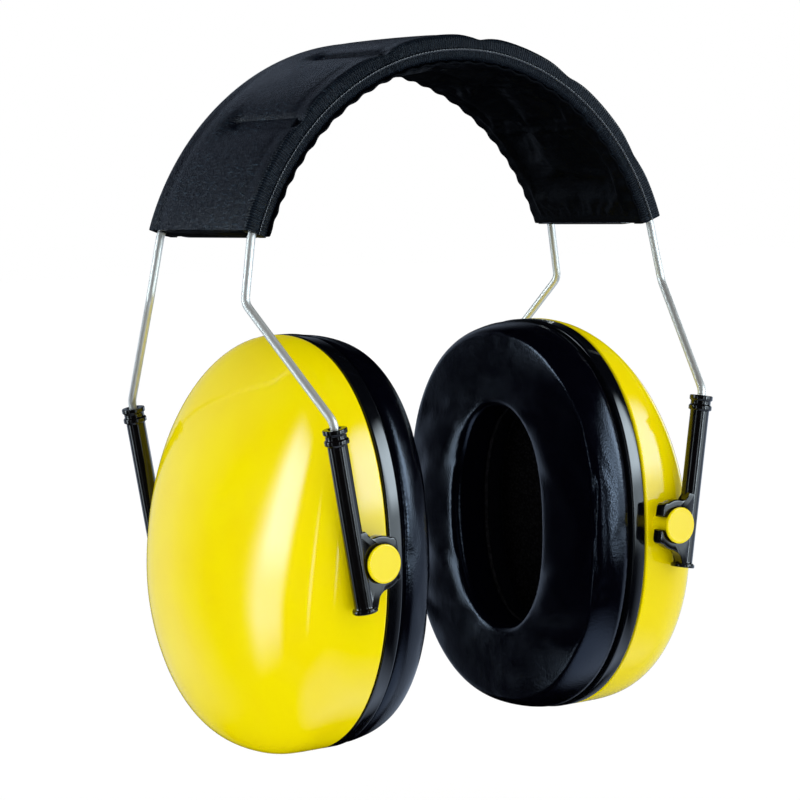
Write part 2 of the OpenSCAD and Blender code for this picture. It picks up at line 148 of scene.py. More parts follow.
MERGE = 2e-6  # Distance under which a surface's points are welded into one
BLUR = 0.1  # Share of the dome's reach over which its crown is rounded
WELD_R = 0.38 * MM  # Radius of the weld beads
END_MARGIN = 0.006  # Angle by which the lining stops short of the band's end
GROOVE_MARGIN = math.radians(7)  # Angle at the band's end that stays free of grooves
TIP_ROUND = 0.35 * MM  # Rounding of the clip's tips
STUD_EDGE = 0.15 * MM  # Rounding under the stud's head
FACE_SHARE = 0.17  # Share of the cushion's face that its rounded outer side takes up
SEAM_GAP = 0.02 * MM  # Gap that keeps two pieces that meet from sharing a face

# The stage, in metres
FLOOR_HALF = 4.2
TENT_R = 6.0
TENT_DROP = 0.5  # How far the tent's hem hangs below the floor
WHITE = (1.0, 1.0, 1.0, 1.0)

# Cloth settings of soft PVC about a millimetre thick, and the length of its simulation
SOFT_PVC = {
    "quality": 6, "mass": 0.05, "air_damping": 6, "use_pressure": True, "vertex_group_mass": "held",
    "tension_stiffness": 25, "compression_stiffness": 25, "shear_stiffness": 8, "bending_stiffness": 0.4,
}
CLOTH_FRAMES = 20


# ---------------------------------------------------------------- settings

def length(name, text, default):
    """A length setting, in metres."""
    return FloatProperty(name=name, description=text, default=default, unit="LENGTH", precision=5)


def angle(name, text, degrees):
    """An angle setting, given in degrees."""
    return FloatProperty(name=name, description=text, default=math.radians(degrees), subtype="ANGLE")


def plain(name, text, default):
    """A setting that is a plain number."""
    return FloatProperty(name=name, description=text, default=default, precision=4)


def hex_colour(code):
    """Linear colour with alpha from an sRGB hex code such as F0DC00."""
    srgb = [int(code[i:i + 2], 16) / 255 for i in (0, 2, 4)]
    return tuple(c / 12.92 if c <= 0.04045 else ((c + 0.055) / 1.055) ** 2.4 for c in srgb) + (1.0,)


def colour(name, text, code):
    """A colour setting, given as an sRGB hex code."""
    return FloatVectorProperty(name=name, description=text, subtype="COLOR", size=4,
                               min=0, max=1, default=hex_colour(code))


class EarmuffBand(bpy.types.PropertyGroup):
    """Sizes of the padded headband"""
    radius: length("Radius", "Radius of the band's outer face", BAND_R)
    centre_z: length("Centre height", "Height of the band's centre above the pivots", BAND_CENTRE_Z)
    half_angle: angle("Half angle", "Angle from the crown to each end of the band", BAND_HALF_DEGREES)
    width: length("Width", "Width of the band from front to back", 2 * BAND_BOX[1].y)
    edge_height: length("Edge height", "Height of the stiff edges that hold the wires", 6.7 * MM)
    edge_width: length("Edge width", "Width of each stiff edge", 4 * MM)
    edge_round: length("Edge rounding", "Radius of the band's rounded edges", 1.2 * MM)
    cover: length("Cover thickness", "Thickness of the outer cover", 1.2 * MM)
    lining: length("Lining thickness", "Thickness of the lining and its welded flange", 0.8 * MM)
    depth: length("Depth", "Depth of the band at its padded middle", 7.8 * MM)
    groove_length: length("Groove length", "Length of a pressed groove", 27.5 * MM)
    groove_depth: length("Groove depth", "Depth of a pressed groove in the cover", 1.9 * MM)
    groove_width: length("Groove width", "Half width of a pressed groove", 1.25 * MM)
    valley_depth: length("Valley depth", "Depth of the soft valley round a groove", 0.9 * MM)
    valley_width: length("Valley width", "Half width of the soft valley round a groove", 4.5 * MM)
    swell: length("Swell", "How far the cloth simulation may push the lining out", 1.3 * MM)


class EarmuffWires(bpy.types.PropertyGroup):
    """Sizes of the two spring wires"""
    diameter: length("Diameter", "Diameter of the steel wire", 2.1 * MM)
    depth: length("Depth", "Depth of the wire's centre under the band's outer face", 3.2 * MM)
    edge: length("Edge distance", "Distance of the wire's centre from the band's side", 1.9 * MM)
    kink_drop: length("Kink drop", "Drop from the band's end to the kink", 16.5 * MM)
    kink_out: length("Kink outward", "How far the kink stands outward of the band's end", 3.3 * MM)
    kink_side: length("Kink sideways", "How far the kink stands to the side", 1.0 * MM)
    leg: length("Leg length", "Straight leg inside and above the holder", 43.5 * MM)
    bend: length("Bend radius", "Radius of the wire's bends", 4.0 * MM)


class EarmuffHolders(bpy.types.PropertyGroup):
    """Sizes of the four wire holders"""
    tube: length("Tube diameter", "Outer diameter of the holder's tube", 4.9 * MM)
    above: length("Length above", "Length of the tube above the pivot", 34.2 * MM)
    below: length("Length below", "Length of the tube below the pivot", 10.8 * MM)
    lean: angle("Lean", "Lean of the tube, in from top to bottom", 9.8)
    offset: length("Offset", "Distance of the tube's axis outward of the pivot", 5.45 * MM)
    collar: length("Collar diameter", "Outer diameter of the collar rings", 6.0 * MM)
    collar_height: length("Collar height", "Height of the stepped collar", 3.8 * MM)
    foot: length("Foot diameter", "Diameter of the flared foot", 6.2 * MM)
    clip: length("Clip diameter", "Outer diameter of the clip ring", 13.2 * MM)
    clip_thickness: length("Clip thickness", "Thickness of the clip along the pivot", 3.0 * MM)
    clip_sink: length("Clip sink", "How far the clip lies under the tube's outer side", 0.15 * MM)
    jaw_reach: length("Jaw reach", "Reach of the clip's jaws from the pivot", 5.4 * MM)
    jaw_height: length("Jaw height", "Height of each jaw's outer side above the pivot", 5.4 * MM)
    jaw_slot: length("Jaw slot", "Height of the slot between the jaws", 3.2 * MM)
    bearing: length("Bearing diameter", "Bore of the clip round the stud's neck", 8.16 * MM)
    web: length("Web radius", "Radius of the hollow between clip and tube, above the pivot", 2.2 * MM)
    web_foot: length("Foot web radius", "Radius of the same hollow below the pivot", 3.8 * MM)
    mouth_gap: length("Mouth gap", "Gap between the wire's bend and the tube's mouth", 1.6 * MM)


class EarmuffCups(bpy.types.PropertyGroup):
    """Sizes of the cup shells"""
    height: length("Height", "Height of the cup at its rim", 2 * PLATE_BOX[1].z)
    width: length("Width", "Width of the cup at its rim", 2 * PLATE_BOX[1].y)
    rim_x: length("Rim", "Place of the rim along X", SHELL_BOX[0].x)
    depth: length("Depth", "Depth of the shell from rim to crown", SHELL_BOX[1].x - SHELL_BOX[0].x)
    crown_drop: length("Crown drop", "How far the crown lies below the pivot", 14.4 * MM)
    wall: length("Wall", "Wall of the shell", 2.4 * MM)
    square: plain("Squareness", "Squareness of the outline, where 2 is an ellipse", 2.25)
    side_steepness: plain("Side steepness", "Exponent that turns the face to the sides", 1 / 5.7)
    bottom_steepness: plain("Bottom steepness", "Exponent that turns the face to the bottom", 1 / 4.4)
    top_slant: plain("Top slant", "Exponent that slants the face back to the top", 1 / 1.43)
    flatness: plain("Crown flatness", "Exponent of the face's rise toward its crown", 1.7)
    neck: length("Neck diameter", "Diameter of the pivot stud's neck", 8.0 * MM)
    head: length("Head diameter", "Diameter of the pivot stud's head", 9.4 * MM)
    head_thickness: length("Head thickness", "Thickness of the pivot stud's head", 0.9 * MM)


class EarmuffCushions(bpy.types.PropertyGroup):
    """Sizes of the plates and sealing cushions"""
    seal_x: length("Sealing face", "Place of the sealing face along X", CUSHION_BOX[0].x)
    plate_x: length("Plate", "Place of the plate's inner face along X", PLATE_BOX[0].x)
    plate: length("Plate thickness", "Thickness of the plate that carries the cushion", 4.1 * MM)
    plate_step: length("Plate step", "Shadow step between the plate and the cup's rim", 1.0 * MM)
    plate_round: length("Plate rounding", "Radius of the plate's rounded edges", 0.55 * MM)
    inset: length("Inset", "How far the cushion's side stands in from the cup's outline", 0.5 * MM)
    opening_width: length("Opening width", "Width of the ear opening", 33 * MM)
    opening_height: length("Opening height", "Height of the ear opening", 58 * MM)
    tuck: length("Tuck", "How far the foil is pulled in where it meets the plate", 0.6 * MM)
    swell: length("Swell", "How far the cloth simulation may push the foil out", 0.7 * MM)


class EarmuffFinishes(bpy.types.PropertyGroup):
    """Colours of the pieces"""
    shell: colour("Shell", "Gloss yellow of the cups", "F0DE00")
    plate: colour("Plate", "Gloss black of the plates", "05060A")
    holder: colour("Holder", "Gloss black of the wire holders", "070607")
    foil: colour("Foil", "Black of the cushion foil", "020207")
    cover: colour("Cover", "Blue black of the band's cover", "06080F")
    lining: colour("Lining", "Black of the band's lining", "020306")
    wire: colour("Wire", "Bright steel of the wires", "D8D8D4")
    foam: colour("Foam", "Dark grey of the foam", "1D1D20")
    liquid: colour("Liquid", "Blue grey of the liquid film", "56697C")


class EarmuffStage(bpy.types.PropertyGroup):
    """Camera, floor and even light"""
    azimuth: angle("Azimuth", "Camera's turn about the upright, from the front toward the right", -36.722)
    elevation: angle("Elevation", "Camera's height above the level", 4.717)
    roll: angle("Roll", "Camera's turn about its own axis", -1.33)
    lens: plain("Lens", "Focal length in millimetres", 119.5)
    sensor: plain("Sensor", "Width of the sensor in millimetres", 36.0)
    place: FloatVectorProperty(name="Place", description="Camera's place", unit="LENGTH", size=3,
                               default=(-416.793 * MM, -551.464 * MM, 90.327 * MM))
    fill: plain("Fill", "Strength of the even light all round the object", 1.15)
    floor_z: length("Floor", "Height of the floor, clear of cups that are drawn right out", -0.095)


GROUPS = {
    "earmuff_band": EarmuffBand,
    "earmuff_wires": EarmuffWires,
    "earmuff_holders": EarmuffHolders,
    "earmuff_cups": EarmuffCups,
    "earmuff_cushions": EarmuffCushions,
    "earmuff_finishes": EarmuffFinishes,
    "earmuff_stage": EarmuffStage,
}


# ---------------------------------------------------------------- surfaces

def unit(v):
    """Vectors divided by their lengths."""
    return v / np.maximum(np.linalg.norm(v, axis=-1, keepdims=True), 1e-12)


def signed_power(t, e):
    """Size of t to the power e, with t's sign kept."""
    return np.sign(t) * np.abs(t) ** e


def arc(centre, radius, start, end, count):
    """Points of a circle's arc in a plane, from start to end degrees: centre plus radius times cosine
    and sine."""
    a = np.radians(np.linspace(start, end, count))
    return np.stack([centre[0] + radius * np.cos(a), centre[1] + radius * np.sin(a)], -1)


def lengths(points):
    """Length along a line of points, from the first to each."""
    return np.concatenate([[0], np.cumsum(np.linalg.norm(np.diff(points, axis=0), axis=1))])


def spaced(points, count):
    """Points at equal steps of length along a line of points."""
    along = lengths(points)
    at = np.linspace(0, along[-1], count)
    return np.stack([np.interp(at, along, points[:, i]) for i in range(points.shape[1])], -1)


def turned(profile, columns):
    """Surface of revolution about Z of a profile of radius and height, with columns points in a turn."""
    a = np.linspace(0, 2 * np.pi, columns + 1)
    r, z = profile[:, 0, None], profile[:, 1, None]
    return np.stack([r * np.cos(a), r * np.sin(a), z + 0 * a], -1)


def swept(path, radius, sides, near=(0, 1, 0)):
    """Tube about a path: each ring is the path's point plus radius times cosine and sine of the turn
    along two directions square to the path, the first of them as near to a given one as can be."""
    radius = np.broadcast_to(radius, len(path))[:, None, None]
    along = unit(np.gradient(path, axis=0))
    across = unit(near - (along @ near)[:, None] * along)
    normal = np.cross(along, across)
    a = np.linspace(0, 2 * np.pi, sides + 1)[None, :, None]
    return path[:, None] + radius * (np.cos(a) * across[:, None] + np.sin(a) * normal[:, None])


def placed(grid, matrix):
    """Grid moved by a 4 x 4 matrix."""
    m = np.array(matrix)
    return grid @ m[:3, :3].T + m[:3, 3]


def mirrored(grid, side):
    """Grid of the right side, or its mirror image on the left."""
    return grid * [side, 1, 1]


def points_of(mesh):
    """Points of a mesh, as an array."""
    co = np.empty(len(mesh.vertices) * 3)
    mesh.vertices.foreach_get("co", co)
    return co.reshape(-1, 3)


def added(name, data):
    """New object of a mesh, lamp or camera, in the scene."""
    thing = bpy.data.objects.new(name, data)
    bpy.context.scene.collection.objects.link(thing)
    return thing


def surface(name, grids, material):
    """Mesh object from grids of points, rows by columns, each with a UV map in metres that runs along
    its columns and rows. Seams and poles are closed by welding, and all faces point outwards."""
    points, quads, uvs, start = [], [], [], 0
    for grid in grids:
        rows, columns = grid.shape[:2]
        index = start + np.arange(rows * columns).reshape(rows, columns)
        quad = np.stack([index[:-1, :-1], index[:-1, 1:], index[1:, 1:], index[1:, :-1]], -1).reshape(-1, 4)
        points.append(grid.reshape(-1, 3))
        uv = np.meshgrid(lengths(grid[rows // 2]), lengths(grid[:, columns // 2]))
        uvs.append(np.stack(uv, -1).reshape(-1, 2))
        quads.append(quad)
        start += rows * columns
    points, quads, uvs = np.concatenate(points), np.concatenate(quads), np.concatenate(uvs)
    mesh = bpy.data.meshes.new(name)
    mesh.vertices.add(len(points))
    mesh.vertices.foreach_set("co", points.ravel())
    mesh.loops.add(quads.size)
    mesh.loops.foreach_set("vertex_index", quads.ravel())
    mesh.polygons.add(len(quads))
    mesh.polygons.foreach_set("loop_start", np.arange(0, quads.size, 4))
    mesh.update(calc_edges=True)
    mesh.uv_layers.new(name="UVMap").data.foreach_set("uv", uvs[quads.ravel()].ravel())
    work = bmesh.new()
    work.from_mesh(mesh)
    bmesh.ops.remove_doubles(work, verts=work.verts, dist=MERGE)
    bmesh.ops.dissolve_degenerate(work, edges=work.edges, dist=MERGE / 4)
    bmesh.ops.recalc_face_normals(work, faces=work.faces)
    work.to_mesh(mesh)
    work.free()
    mesh.polygons.foreach_set("use_smooth", np.ones(len(mesh.polygons), bool))
    mesh.materials.append(material)
    return added(name, mesh)


def sharpened(piece, degrees):
    """Keeps a piece's edges past an angle crisp."""
    piece.data.set_sharp_from_angle(angle=math.radians(degrees))


def refined(piece, levels):
    """Gives a piece a Subdivision Surface of the same levels in view and render."""
    modifier = piece.modifiers.new("Subdivision", "SUBSURF")
    modifier.levels = levels
    modifier.render_levels = levels


def puffed(piece, held, pressure, cap, stretch):
    """Runs a short cloth simulation of a piece under pressure, with its held points fixed, and writes the
    result into its mesh. Each point's move is the cap times the hyperbolic tangent of its size over
    the cap. A negative stretch gives the cloth spare length."""
    before = points_of(piece.data)
    group = piece.vertex_groups.new(name="held")
    group.add([int(i) for i in np.flatnonzero(held)], 1.0, "REPLACE")
    cloth = piece.modifiers.new("Cloth", "CLOTH")
    settings = cloth.settings
    for key, value in {**SOFT_PVC, "uniform_pressure_force": pressure, "shrink_min": stretch}.items():
        setattr(settings, key, value)
    settings.effector_weights.gravity = 0
    cloth.point_cache.frame_start = 1
    cloth.point_cache.frame_end = CLOTH_FRAMES
    for number in range(1, CLOTH_FRAMES + 1):
        bpy.context.scene.frame_set(number)
    solved = piece.evaluated_get(bpy.context.evaluated_depsgraph_get())
    move = points_of(solved.to_mesh()) - before
    solved.to_mesh_clear()
    piece.modifiers.remove(cloth)
    piece.vertex_groups.remove(group)
    bpy.context.scene.frame_set(1)
    size = np.linalg.norm(move, axis=1, keepdims=True)
    move = move * np.tanh(size / cap) * cap / np.maximum(size, 1e-9)
    piece.data.vertices.foreach_set("co", (before + move).ravel())
    piece.data.update()


# ---------------------------------------------------------------- the cups' outline and dome

def outline(half_w, half_h, square, count):
    """Superellipse in Y and Z: half width times cosine and half height times sine, each to the power
    2 over the squareness with its sign kept, at equal steps of length."""
    a = np.linspace(0, 2 * np.pi, 8 * count + 1)
    line = np.stack([half_w * signed_power(np.cos(a), 2 / square),
                     half_h * signed_power(np.sin(a), 2 / square)], -1)
    return spaced(line, count + 1)


def blurred_power(u, e):
    """u to the power e between 0 and 1, with its sharp start rounded: the root of u squared plus the
    blur squared, to the power e, brought back to 0 and 1 at its ends."""
    low = BLUR ** e
    return ((u * u + BLUR * BLUR) ** (e / 2) - low) / ((1 + BLUR * BLUR) ** (e / 2) - low)


def dome_share(cups, y, z, half_w, half_h):
    """Share of the dome's depth at y, z. It is the product of three falls: to the sides, one minus the
    square of y over the outline's half width there; to the top and to the bottom, one minus the
    distance from the crown over its reach to the power of the crown's flatness; each to its own
    exponent."""
    drop = cups.crown_drop
    across = np.maximum(0, 1 - (np.abs(z) / half_h) ** cups.square) ** (1 / cups.square) * half_w
    ratio = np.minimum(1, np.abs(y) / np.maximum(across, 1e-9))
    side = np.maximum(0, 1 - ratio ** 2) ** cups.side_steepness
    above = np.clip((z + drop) / (half_h + drop), 0, 1)
    below = np.clip((-z - drop) / (half_h - drop), 0, 1)
    top = np.maximum(0, 1 - blurred_power(above, cups.flatness)) ** cups.top_slant
    bottom = np.maximum(0, 1 - blurred_power(below, cups.flatness)) ** cups.bottom_steepness
    return side * top * bottom


def dome(cups, inset, rows, columns, start_x=-math.inf):
    """Dome drawn in by inset. A ring's outline shrinks about the crown by the root of one minus t to
    the power of one over the side steepness, as t goes from the rim to the crown, and stands off the
    rim by the dome's share of the depth. Each column is then spaced evenly, from start_x upward."""
    t = np.linspace(0, 1, 900)[:, None] ** 0.6
    shrink = np.sqrt(np.maximum(0, 1 - t ** (1 / cups.side_steepness)))
    half_w, half_h = cups.width / 2 - inset, cups.height / 2 - inset
    ring = outline(half_w, half_h, cups.square, columns)
    y = ring[None, :, 0] * shrink
    z = -cups.crown_drop * (1 - shrink) + ring[None, :, 1] * shrink
    share = dome_share(cups, y, z, half_w, half_h)
    share[0] = 0
    grid = np.stack([cups.rim_x + (cups.depth - inset) * share, y, z], -1)
    begin = np.argmax(grid[:, :, 0] >= start_x, axis=0)
    return np.stack([spaced(grid[row:, column], rows) for column, row in enumerate(begin)], 1)


def ring_between(cups, cushions, x, share, inset, columns):
    """Rings at the places x, between the cushion's outer outline (share 0) and the ear opening
    (share 1), with both outlines drawn in by inset."""
    x, share, inset = (np.asarray(v, float)[:, None] for v in (x, share, inset))
    base = outline(1, 1, cups.square, columns)
    out_w, out_h = cups.width / 2 - inset, cups.height / 2 - inset
    in_w, in_h = cushions.opening_width / 2 + inset, cushions.opening_height / 2 + inset
    y = (out_w + (in_w - out_w) * share) * base[None, :, 0]
    z = (out_h + (in_h - out_h) * share) * base[None, :, 1]
    return np.stack([x + 0 * y, y, z], -1)


# ---------------------------------------------------------------- materials

def add_node(tree, kind, settings=(), **links):
    """Adds a node of a kind with its settings, which are its own values or, for numbered or named
    inputs, their defaults. A link gives the socket that feeds an input, which it names by the input's
    own name or by i and its number."""
    node = tree.nodes.new("ShaderNode" + kind)
    for key, value in dict(settings).items():
        if isinstance(key, int) or key in node.inputs:
            node.inputs[key].default_value = value
        else:
            setattr(node, key, value)
    for key, socket in links.items():
        place = int(key[1:]) if key[0] == "i" and key[1:].isdigit() else key.replace("_", " ")
        tree.links.new(socket, node.inputs[place])
    return node


def emptied(owner):
    """Node tree of a material, lamp or world, without the nodes that it starts with."""
    owner.use_nodes = True
    owner.node_tree.nodes.clear()
    return owner.node_tree


def start_material(name, base, roughness, ior=1.5, metallic=0.0, **more):
    """New material with a Principled shader, its colour, roughness, IOR and other socket values set. The
    spaces in a socket's name are written as underscores."""
    material = bpy.data.materials.new(name)
    tree = emptied(material)
    values = {"Base Color": base, "Roughness": roughness, "IOR": ior, "Metallic": metallic}
    values.update({key.replace("_", " "): value for key, value in more.items()})
    shader = add_node(tree, "BsdfPrincipled", values)
    add_node(tree, "OutputMaterial", (), Surface=shader.outputs[0])
    material.diffuse_color = base
    return material, tree, shader


def coordinates(tree, kind, cell_mm):
    """Object or UV coordinates scaled so that one pattern cell is cell_mm millimetres (one number, or
    three for a cell with three sides)."""
    source = add_node(tree, "TexCoord").outputs[kind]
    sides = cell_mm if isinstance(cell_mm, tuple) else (cell_mm,) * 3
    scale = tuple(1 / (side * MM) for side in sides)
    return add_node(tree, "Mapping", {"Scale": scale}, Vector=source).outputs[0]


def noise(tree, cell_mm, detail, roughness=0.5, kind="Object", distortion=0.0):
    """Soft noise with cells of cell_mm."""
    settings = {"Scale": 1.0, "Detail": detail, "Roughness": roughness, "Distortion": distortion}
    return add_node(tree, "TexNoise", settings, Vector=coordinates(tree, kind, cell_mm)).outputs[0]


def cells(tree, cell_mm, feature="F1", kind="Object"):
    """Distance to the middle or to the edge of cells of cell_mm."""
    settings = {"Scale": 1.0, "feature": feature}
    return add_node(tree, "TexVoronoi", settings, Vector=coordinates(tree, kind, cell_mm)).outputs[0]


def maths(tree, operation, *operands):
    """Result of a Math node, each of whose operands is a socket or a number."""
    settings, links = {"operation": operation}, {}
    for i, operand in enumerate(operands):
        if isinstance(operand, float):
            settings[i] = operand
        else:
            links[f"i{i}"] = operand
    return add_node(tree, "Math", settings, **links).outputs[0]


def ranged(tree, value, low, high, to_low=0.0, to_high=1.0):
    """Value brought from one range to another, held at its ends."""
    return add_node(tree, "MapRange", {1: low, 2: high, 3: to_low, 4: to_high}, Value=value).outputs[0]


def bump(tree, shader, height, distance_mm, strength=1.0, below=None):
    """Bump of a height pattern, distance_mm deep, on the shader, over another bump where one is given."""
    links = {"Height": height}
    if below is not None:
        links["Normal"] = below
    node = add_node(tree, "Bump", {"Distance": distance_mm * MM, "Strength": strength}, **links)
    tree.links.new(node.outputs[0], shader.inputs["Normal"])
    return node.outputs[0]


def roughened(tree, shader, value, low, high, smooth, rough):
    """Roughness of the shader, from smooth to rough as the value goes from low to high."""
    tree.links.new(ranged(tree, value, low, high, smooth, rough), shader.inputs["Roughness"])


def tinted(tree, shader, base, other, factor):
    """Mixes two colours by a factor into the shader's base colour."""
    node = add_node(tree, "Mix", {"data_type": "RGBA", 6: base, 7: other}, i0=factor)
    tree.links.new(node.outputs[2], shader.inputs["Base Color"])


def shade(base, factor, added=0.0):
    """Opaque colour: the base times one factor, or one for each channel, plus what is added."""
    return (*(np.array(base[:3]) * factor + added).tolist(), 1.0)


def shell_material(finishes):
    """Gloss ABS, injection moulded: deep even yellow, mirror-like skin with a slow moulding wave of about
    14 mm and a faint handling haze of about 9 mm."""
    base = finishes.shell[:]
    material, tree, shader = start_material("gloss_abs_yellow_moulded", base, 0.09,
                                            Specular_Tint=hex_colour("B3BCFF"))
    wave = noise(tree, 14, 1, 0.4)
    roughened(tree, shader, noise(tree, 9, 4, 0.6), 0.4, 0.75, 0.07, 0.12)
    tinted(tree, shader, base, shade(base, (0.985, 0.955, 1.0)), ranged(tree, wave, 0.35, 0.7))
    bump(tree, shader, wave, 0.06, 0.4)
    return material


def plate_material(finishes):
    """Gloss ABS, injection moulded: black with a clean mirror skin and a faint wave of about 10 mm."""
    material, tree, shader = start_material("gloss_abs_black_moulded", finishes.plate[:], 0.1,
                                            Coat_Weight=0.3, Coat_Roughness=0.05)
    roughened(tree, shader, noise(tree, 5, 4), 0.4, 0.7, 0.08, 0.16)
    bump(tree, shader, noise(tree, 10, 1), 0.08, 0.5)
    return material


def holder_material(finishes):
    """Acetal, injection moulded: waxy gloss black with fine drag lines of about 0.6 mm and rubbed spots."""
    material, tree, shader = start_material("acetal_black_moulded", finishes.holder[:], 0.14, 1.48,
                                            Coat_Weight=0.2, Coat_Roughness=0.08)
    roughened(tree, shader, noise(tree, 3, 5, 0.65), 0.4, 0.7, 0.10, 0.22)
    bump(tree, shader, noise(tree, (0.6, 0.6, 5), 2), 0.02, 0.5)
    return material


def foil_material(finishes):
    """Soft PVC foil, vacuum formed: blue black, satin, with a fine pebble grain of about 0.45 mm that
    breaks up its highlights."""
    material, tree, shader = start_material("pvc_foil_black_formed", finishes.foil[:], 0.15, 1.45,
                                            Specular_IOR_Level=0.5, Specular_Tint=hex_colour("C9D8F0"))
    cloud = noise(tree, 6, 3)
    roughened(tree, shader, cloud, 0.35, 0.7, 0.13, 0.2)
    first = bump(tree, shader, cloud, 0.05, 0.3)
    bump(tree, shader, cells(tree, 0.45), 0.04, 0.7, first)
    return material


def grained_material(name, base, grain_mm, rib_mm, roughness, specular, sheen_share, side_mm=None):
    """Soft PVC with a pressed leather grain, along the band's own UV map: cells of grain_mm, and wrinkles
    across the band every rib_mm where the skin was bent. Past side_mm from the band's middle the skin
    is drawn over the edge in fine ribs of about 0.7 mm. The wrinkles' crests carry a painted sheen,
    paler and bluer, in cloudy patches up to the given share, and the ribs carry painted glints."""
    material, tree, shader = start_material(name, base, roughness, 1.45, Specular_IOR_Level=specular)
    wrinkle = noise(tree, (4 * rib_mm, rib_mm, rib_mm), 4, 0.6, "UV", 0.8)
    cloud = noise(tree, 12, 4)
    # Painted sheen: the wrinkles' crests are painted paler and bluer in cloudy patches, where the grain
    # would catch the light
    fleck = ranged(tree, wrinkle, 0.53, 0.66)
    shown = maths(tree, "MULTIPLY", fleck, ranged(tree, cloud, 0.36, 0.6, 0.0, sheen_share))
    roughened(tree, shader, cloud, 0.35, 0.7, roughness - 0.05, roughness + 0.08)
    last = bump(tree, shader, wrinkle, 0.26, 0.8)
    pits = ranged(tree, cells(tree, grain_mm, "DISTANCE_TO_EDGE", "UV"), 0.0, 0.22)
    last = bump(tree, shader, pits, 0.05, 0.7, last)
    if side_mm is not None:
        place = add_node(tree, "TexCoord").outputs["Object"]
        y = maths(tree, "ABSOLUTE", add_node(tree, "SeparateXYZ", (), Vector=place).outputs[1])
        # A wave's period is a tenth of pi of its cell
        wave = add_node(tree, "TexWave",
                        {"Scale": 1.0, "Distortion": 1.6, "Detail": 1.5, "bands_direction": "Y"},
                        Vector=coordinates(tree, "UV", 0.7 * math.pi))
        at_side = ranged(tree, y, (side_mm - 0.9) * MM, side_mm * MM)
        ribs = maths(tree, "MULTIPLY", wave.outputs[1], at_side)
        bump(tree, shader, ribs, 0.3, 1.0, last)
        # Painted glints: the ribs are painted paler as well
        shown = maths(tree, "MAXIMUM", maths(tree, "MULTIPLY", ribs, 0.6), shown)
    # Colour of the painted sheen and glints: the base times 1.8, with blue added
    tinted(tree, shader, base, shade(base, 1.8, (0.008, 0.016, 0.022)), shown)
    return material


def cover_material(finishes):
    """Outer cover: grained soft PVC, with a painted sheen in patches and ribbed at its sides, where the
    ribs carry painted glints.
    """
    return grained_material("pvc_cover_black_grained", finishes.cover[:], 0.75, 0.55, 0.2, 0.18, 1.0,
                            BAND_BOX[1].y / MM - 0.1)


def lining_material(finishes):
    """Lining: the same soft PVC, duller and with hardly any painted sheen."""
    return grained_material("pvc_lining_black_grained", finishes.lining[:], 0.6, 1.6, 0.45, 0.03, 0.08)


def bead_material(finishes):
    """Weld bead: soft PVC that has flowed under the electrode, glossy and lumpy every 0.6 mm or so."""
    material, tree, shader = start_material("pvc_weld_black_flowed", finishes.cover[:], 0.16, 1.53,
                                            Specular_IOR_Level=0.8, Coat_Weight=0.2)
    lump = noise(tree, 0.6, 2)
    roughened(tree, shader, lump, 0.35, 0.7, 0.1, 0.26)
    bump(tree, shader, lump, 0.08, 0.7)
    return material


def wire_material(finishes):
    """Spring steel, cold drawn and tumbled to a satin: light grey, with hair lines of about 0.25 mm along
    the wire and slightly duller stretches."""
    base = finishes.wire[:]
    material, tree, shader = start_material("spring_steel_drawn", base, 0.45, 1.5, 0.8)
    patch = noise(tree, 12, 2)
    roughened(tree, shader, patch, 0.35, 0.7, 0.42, 0.5)
    tinted(tree, shader, base, shade(base, 0.94), ranged(tree, patch, 0.4, 0.7))
    bump(tree, shader, noise(tree, (0.25, 30, 1), 3, kind="UV"), 0.01, 0.4)
    return material


def foam_material(finishes):
    """Open-cell polyurethane foam, cut: matt dark grey with pores of about 0.9 mm."""
    base = finishes.foam[:]
    material, tree, shader = start_material("polyurethane_foam_cut", base, 0.95, 1.4,
                                            Specular_IOR_Level=0.2)
    pores = cells(tree, 0.9)
    tinted(tree, shader, base, shade(base, 0.3), ranged(tree, pores, 0.25, 0.6))
    bump(tree, shader, pores, 0.4, 0.9)
    return material


def liquid_material(finishes):
    """Liquid in a clear welded film: blue grey, wet gloss, with slow ripples of about 7 mm."""
    base = finishes.liquid[:]
    material, tree, shader = start_material("liquid_film_welded", base, 0.12, 1.42)
    ripple = noise(tree, 7, 1)
    tinted(tree, shader, base, shade(base, 1.4), ripple)
    bump(tree, shader, ripple, 0.3, 0.6)
    return material


MATERIALS = {
    "shell": shell_material,
    "plate": plate_material,
    "holder": holder_material,
    "foil": foil_material,
    "wire": wire_material,
    "foam": foam_material,
    "liquid": liquid_material,
    "cover": cover_material,
    "lining": lining_material,
    "bead": bead_material,
}


def material(kind):
    """The material of a kind, made once."""
    key = "earmuff_" + kind
    made = bpy.context.scene.get(key)
    if made is None:
        made = MATERIALS[kind](bpy.context.scene.earmuff_finishes)
        bpy.context.scene[key] = made
    return made


def finish_node(node, kind):
    """Gives a CAD node that stays a material of a kind."""
    data = frame["nodes"][node].data
    data.materials.clear()
    data.materials.append(material(kind))


# ---------------------------------------------------------------- the camera's rays

def camera_axes(stage):
    """Camera's turn as a matrix: about the upright by the azimuth, up by the elevation, then the roll."""
    return (Matrix.Rotation(stage.azimuth, 4, "Z") @ Matrix.Rotation(math.pi / 2 - stage.elevation, 4, "X")
            @ Matrix.Rotation(stage.roll, 4, "Z"))


def on_surface(stage, name, carrier):
    """Point where the ray through a named image point meets a carrier's mesh, or the mesh's point that
    lies nearest the ray where it misses."""
    x, y = IMAGE_POINTS[name]
    reach = max(PICTURE_W, PICTURE_H) * stage.lens / stage.sensor
    ray = camera_axes(stage).to_3x3() @ Vector((x - PICTURE_W / 2, PICTURE_H / 2 - y, -reach))
    ray.normalize()
    points, faces = points_of(carrier.data), [face.vertices[:] for face in carrier.data.polygons]
    hit = BVHTree.FromPolygons(points.tolist(), faces).ray_cast(stage.place, ray)
    if hit[0] is not None:
        return hit[0]
    away = np.cross(points - np.array(stage.place), np.array(ray))
    return Vector(points[np.argmin(np.linalg.norm(away, axis=1))])


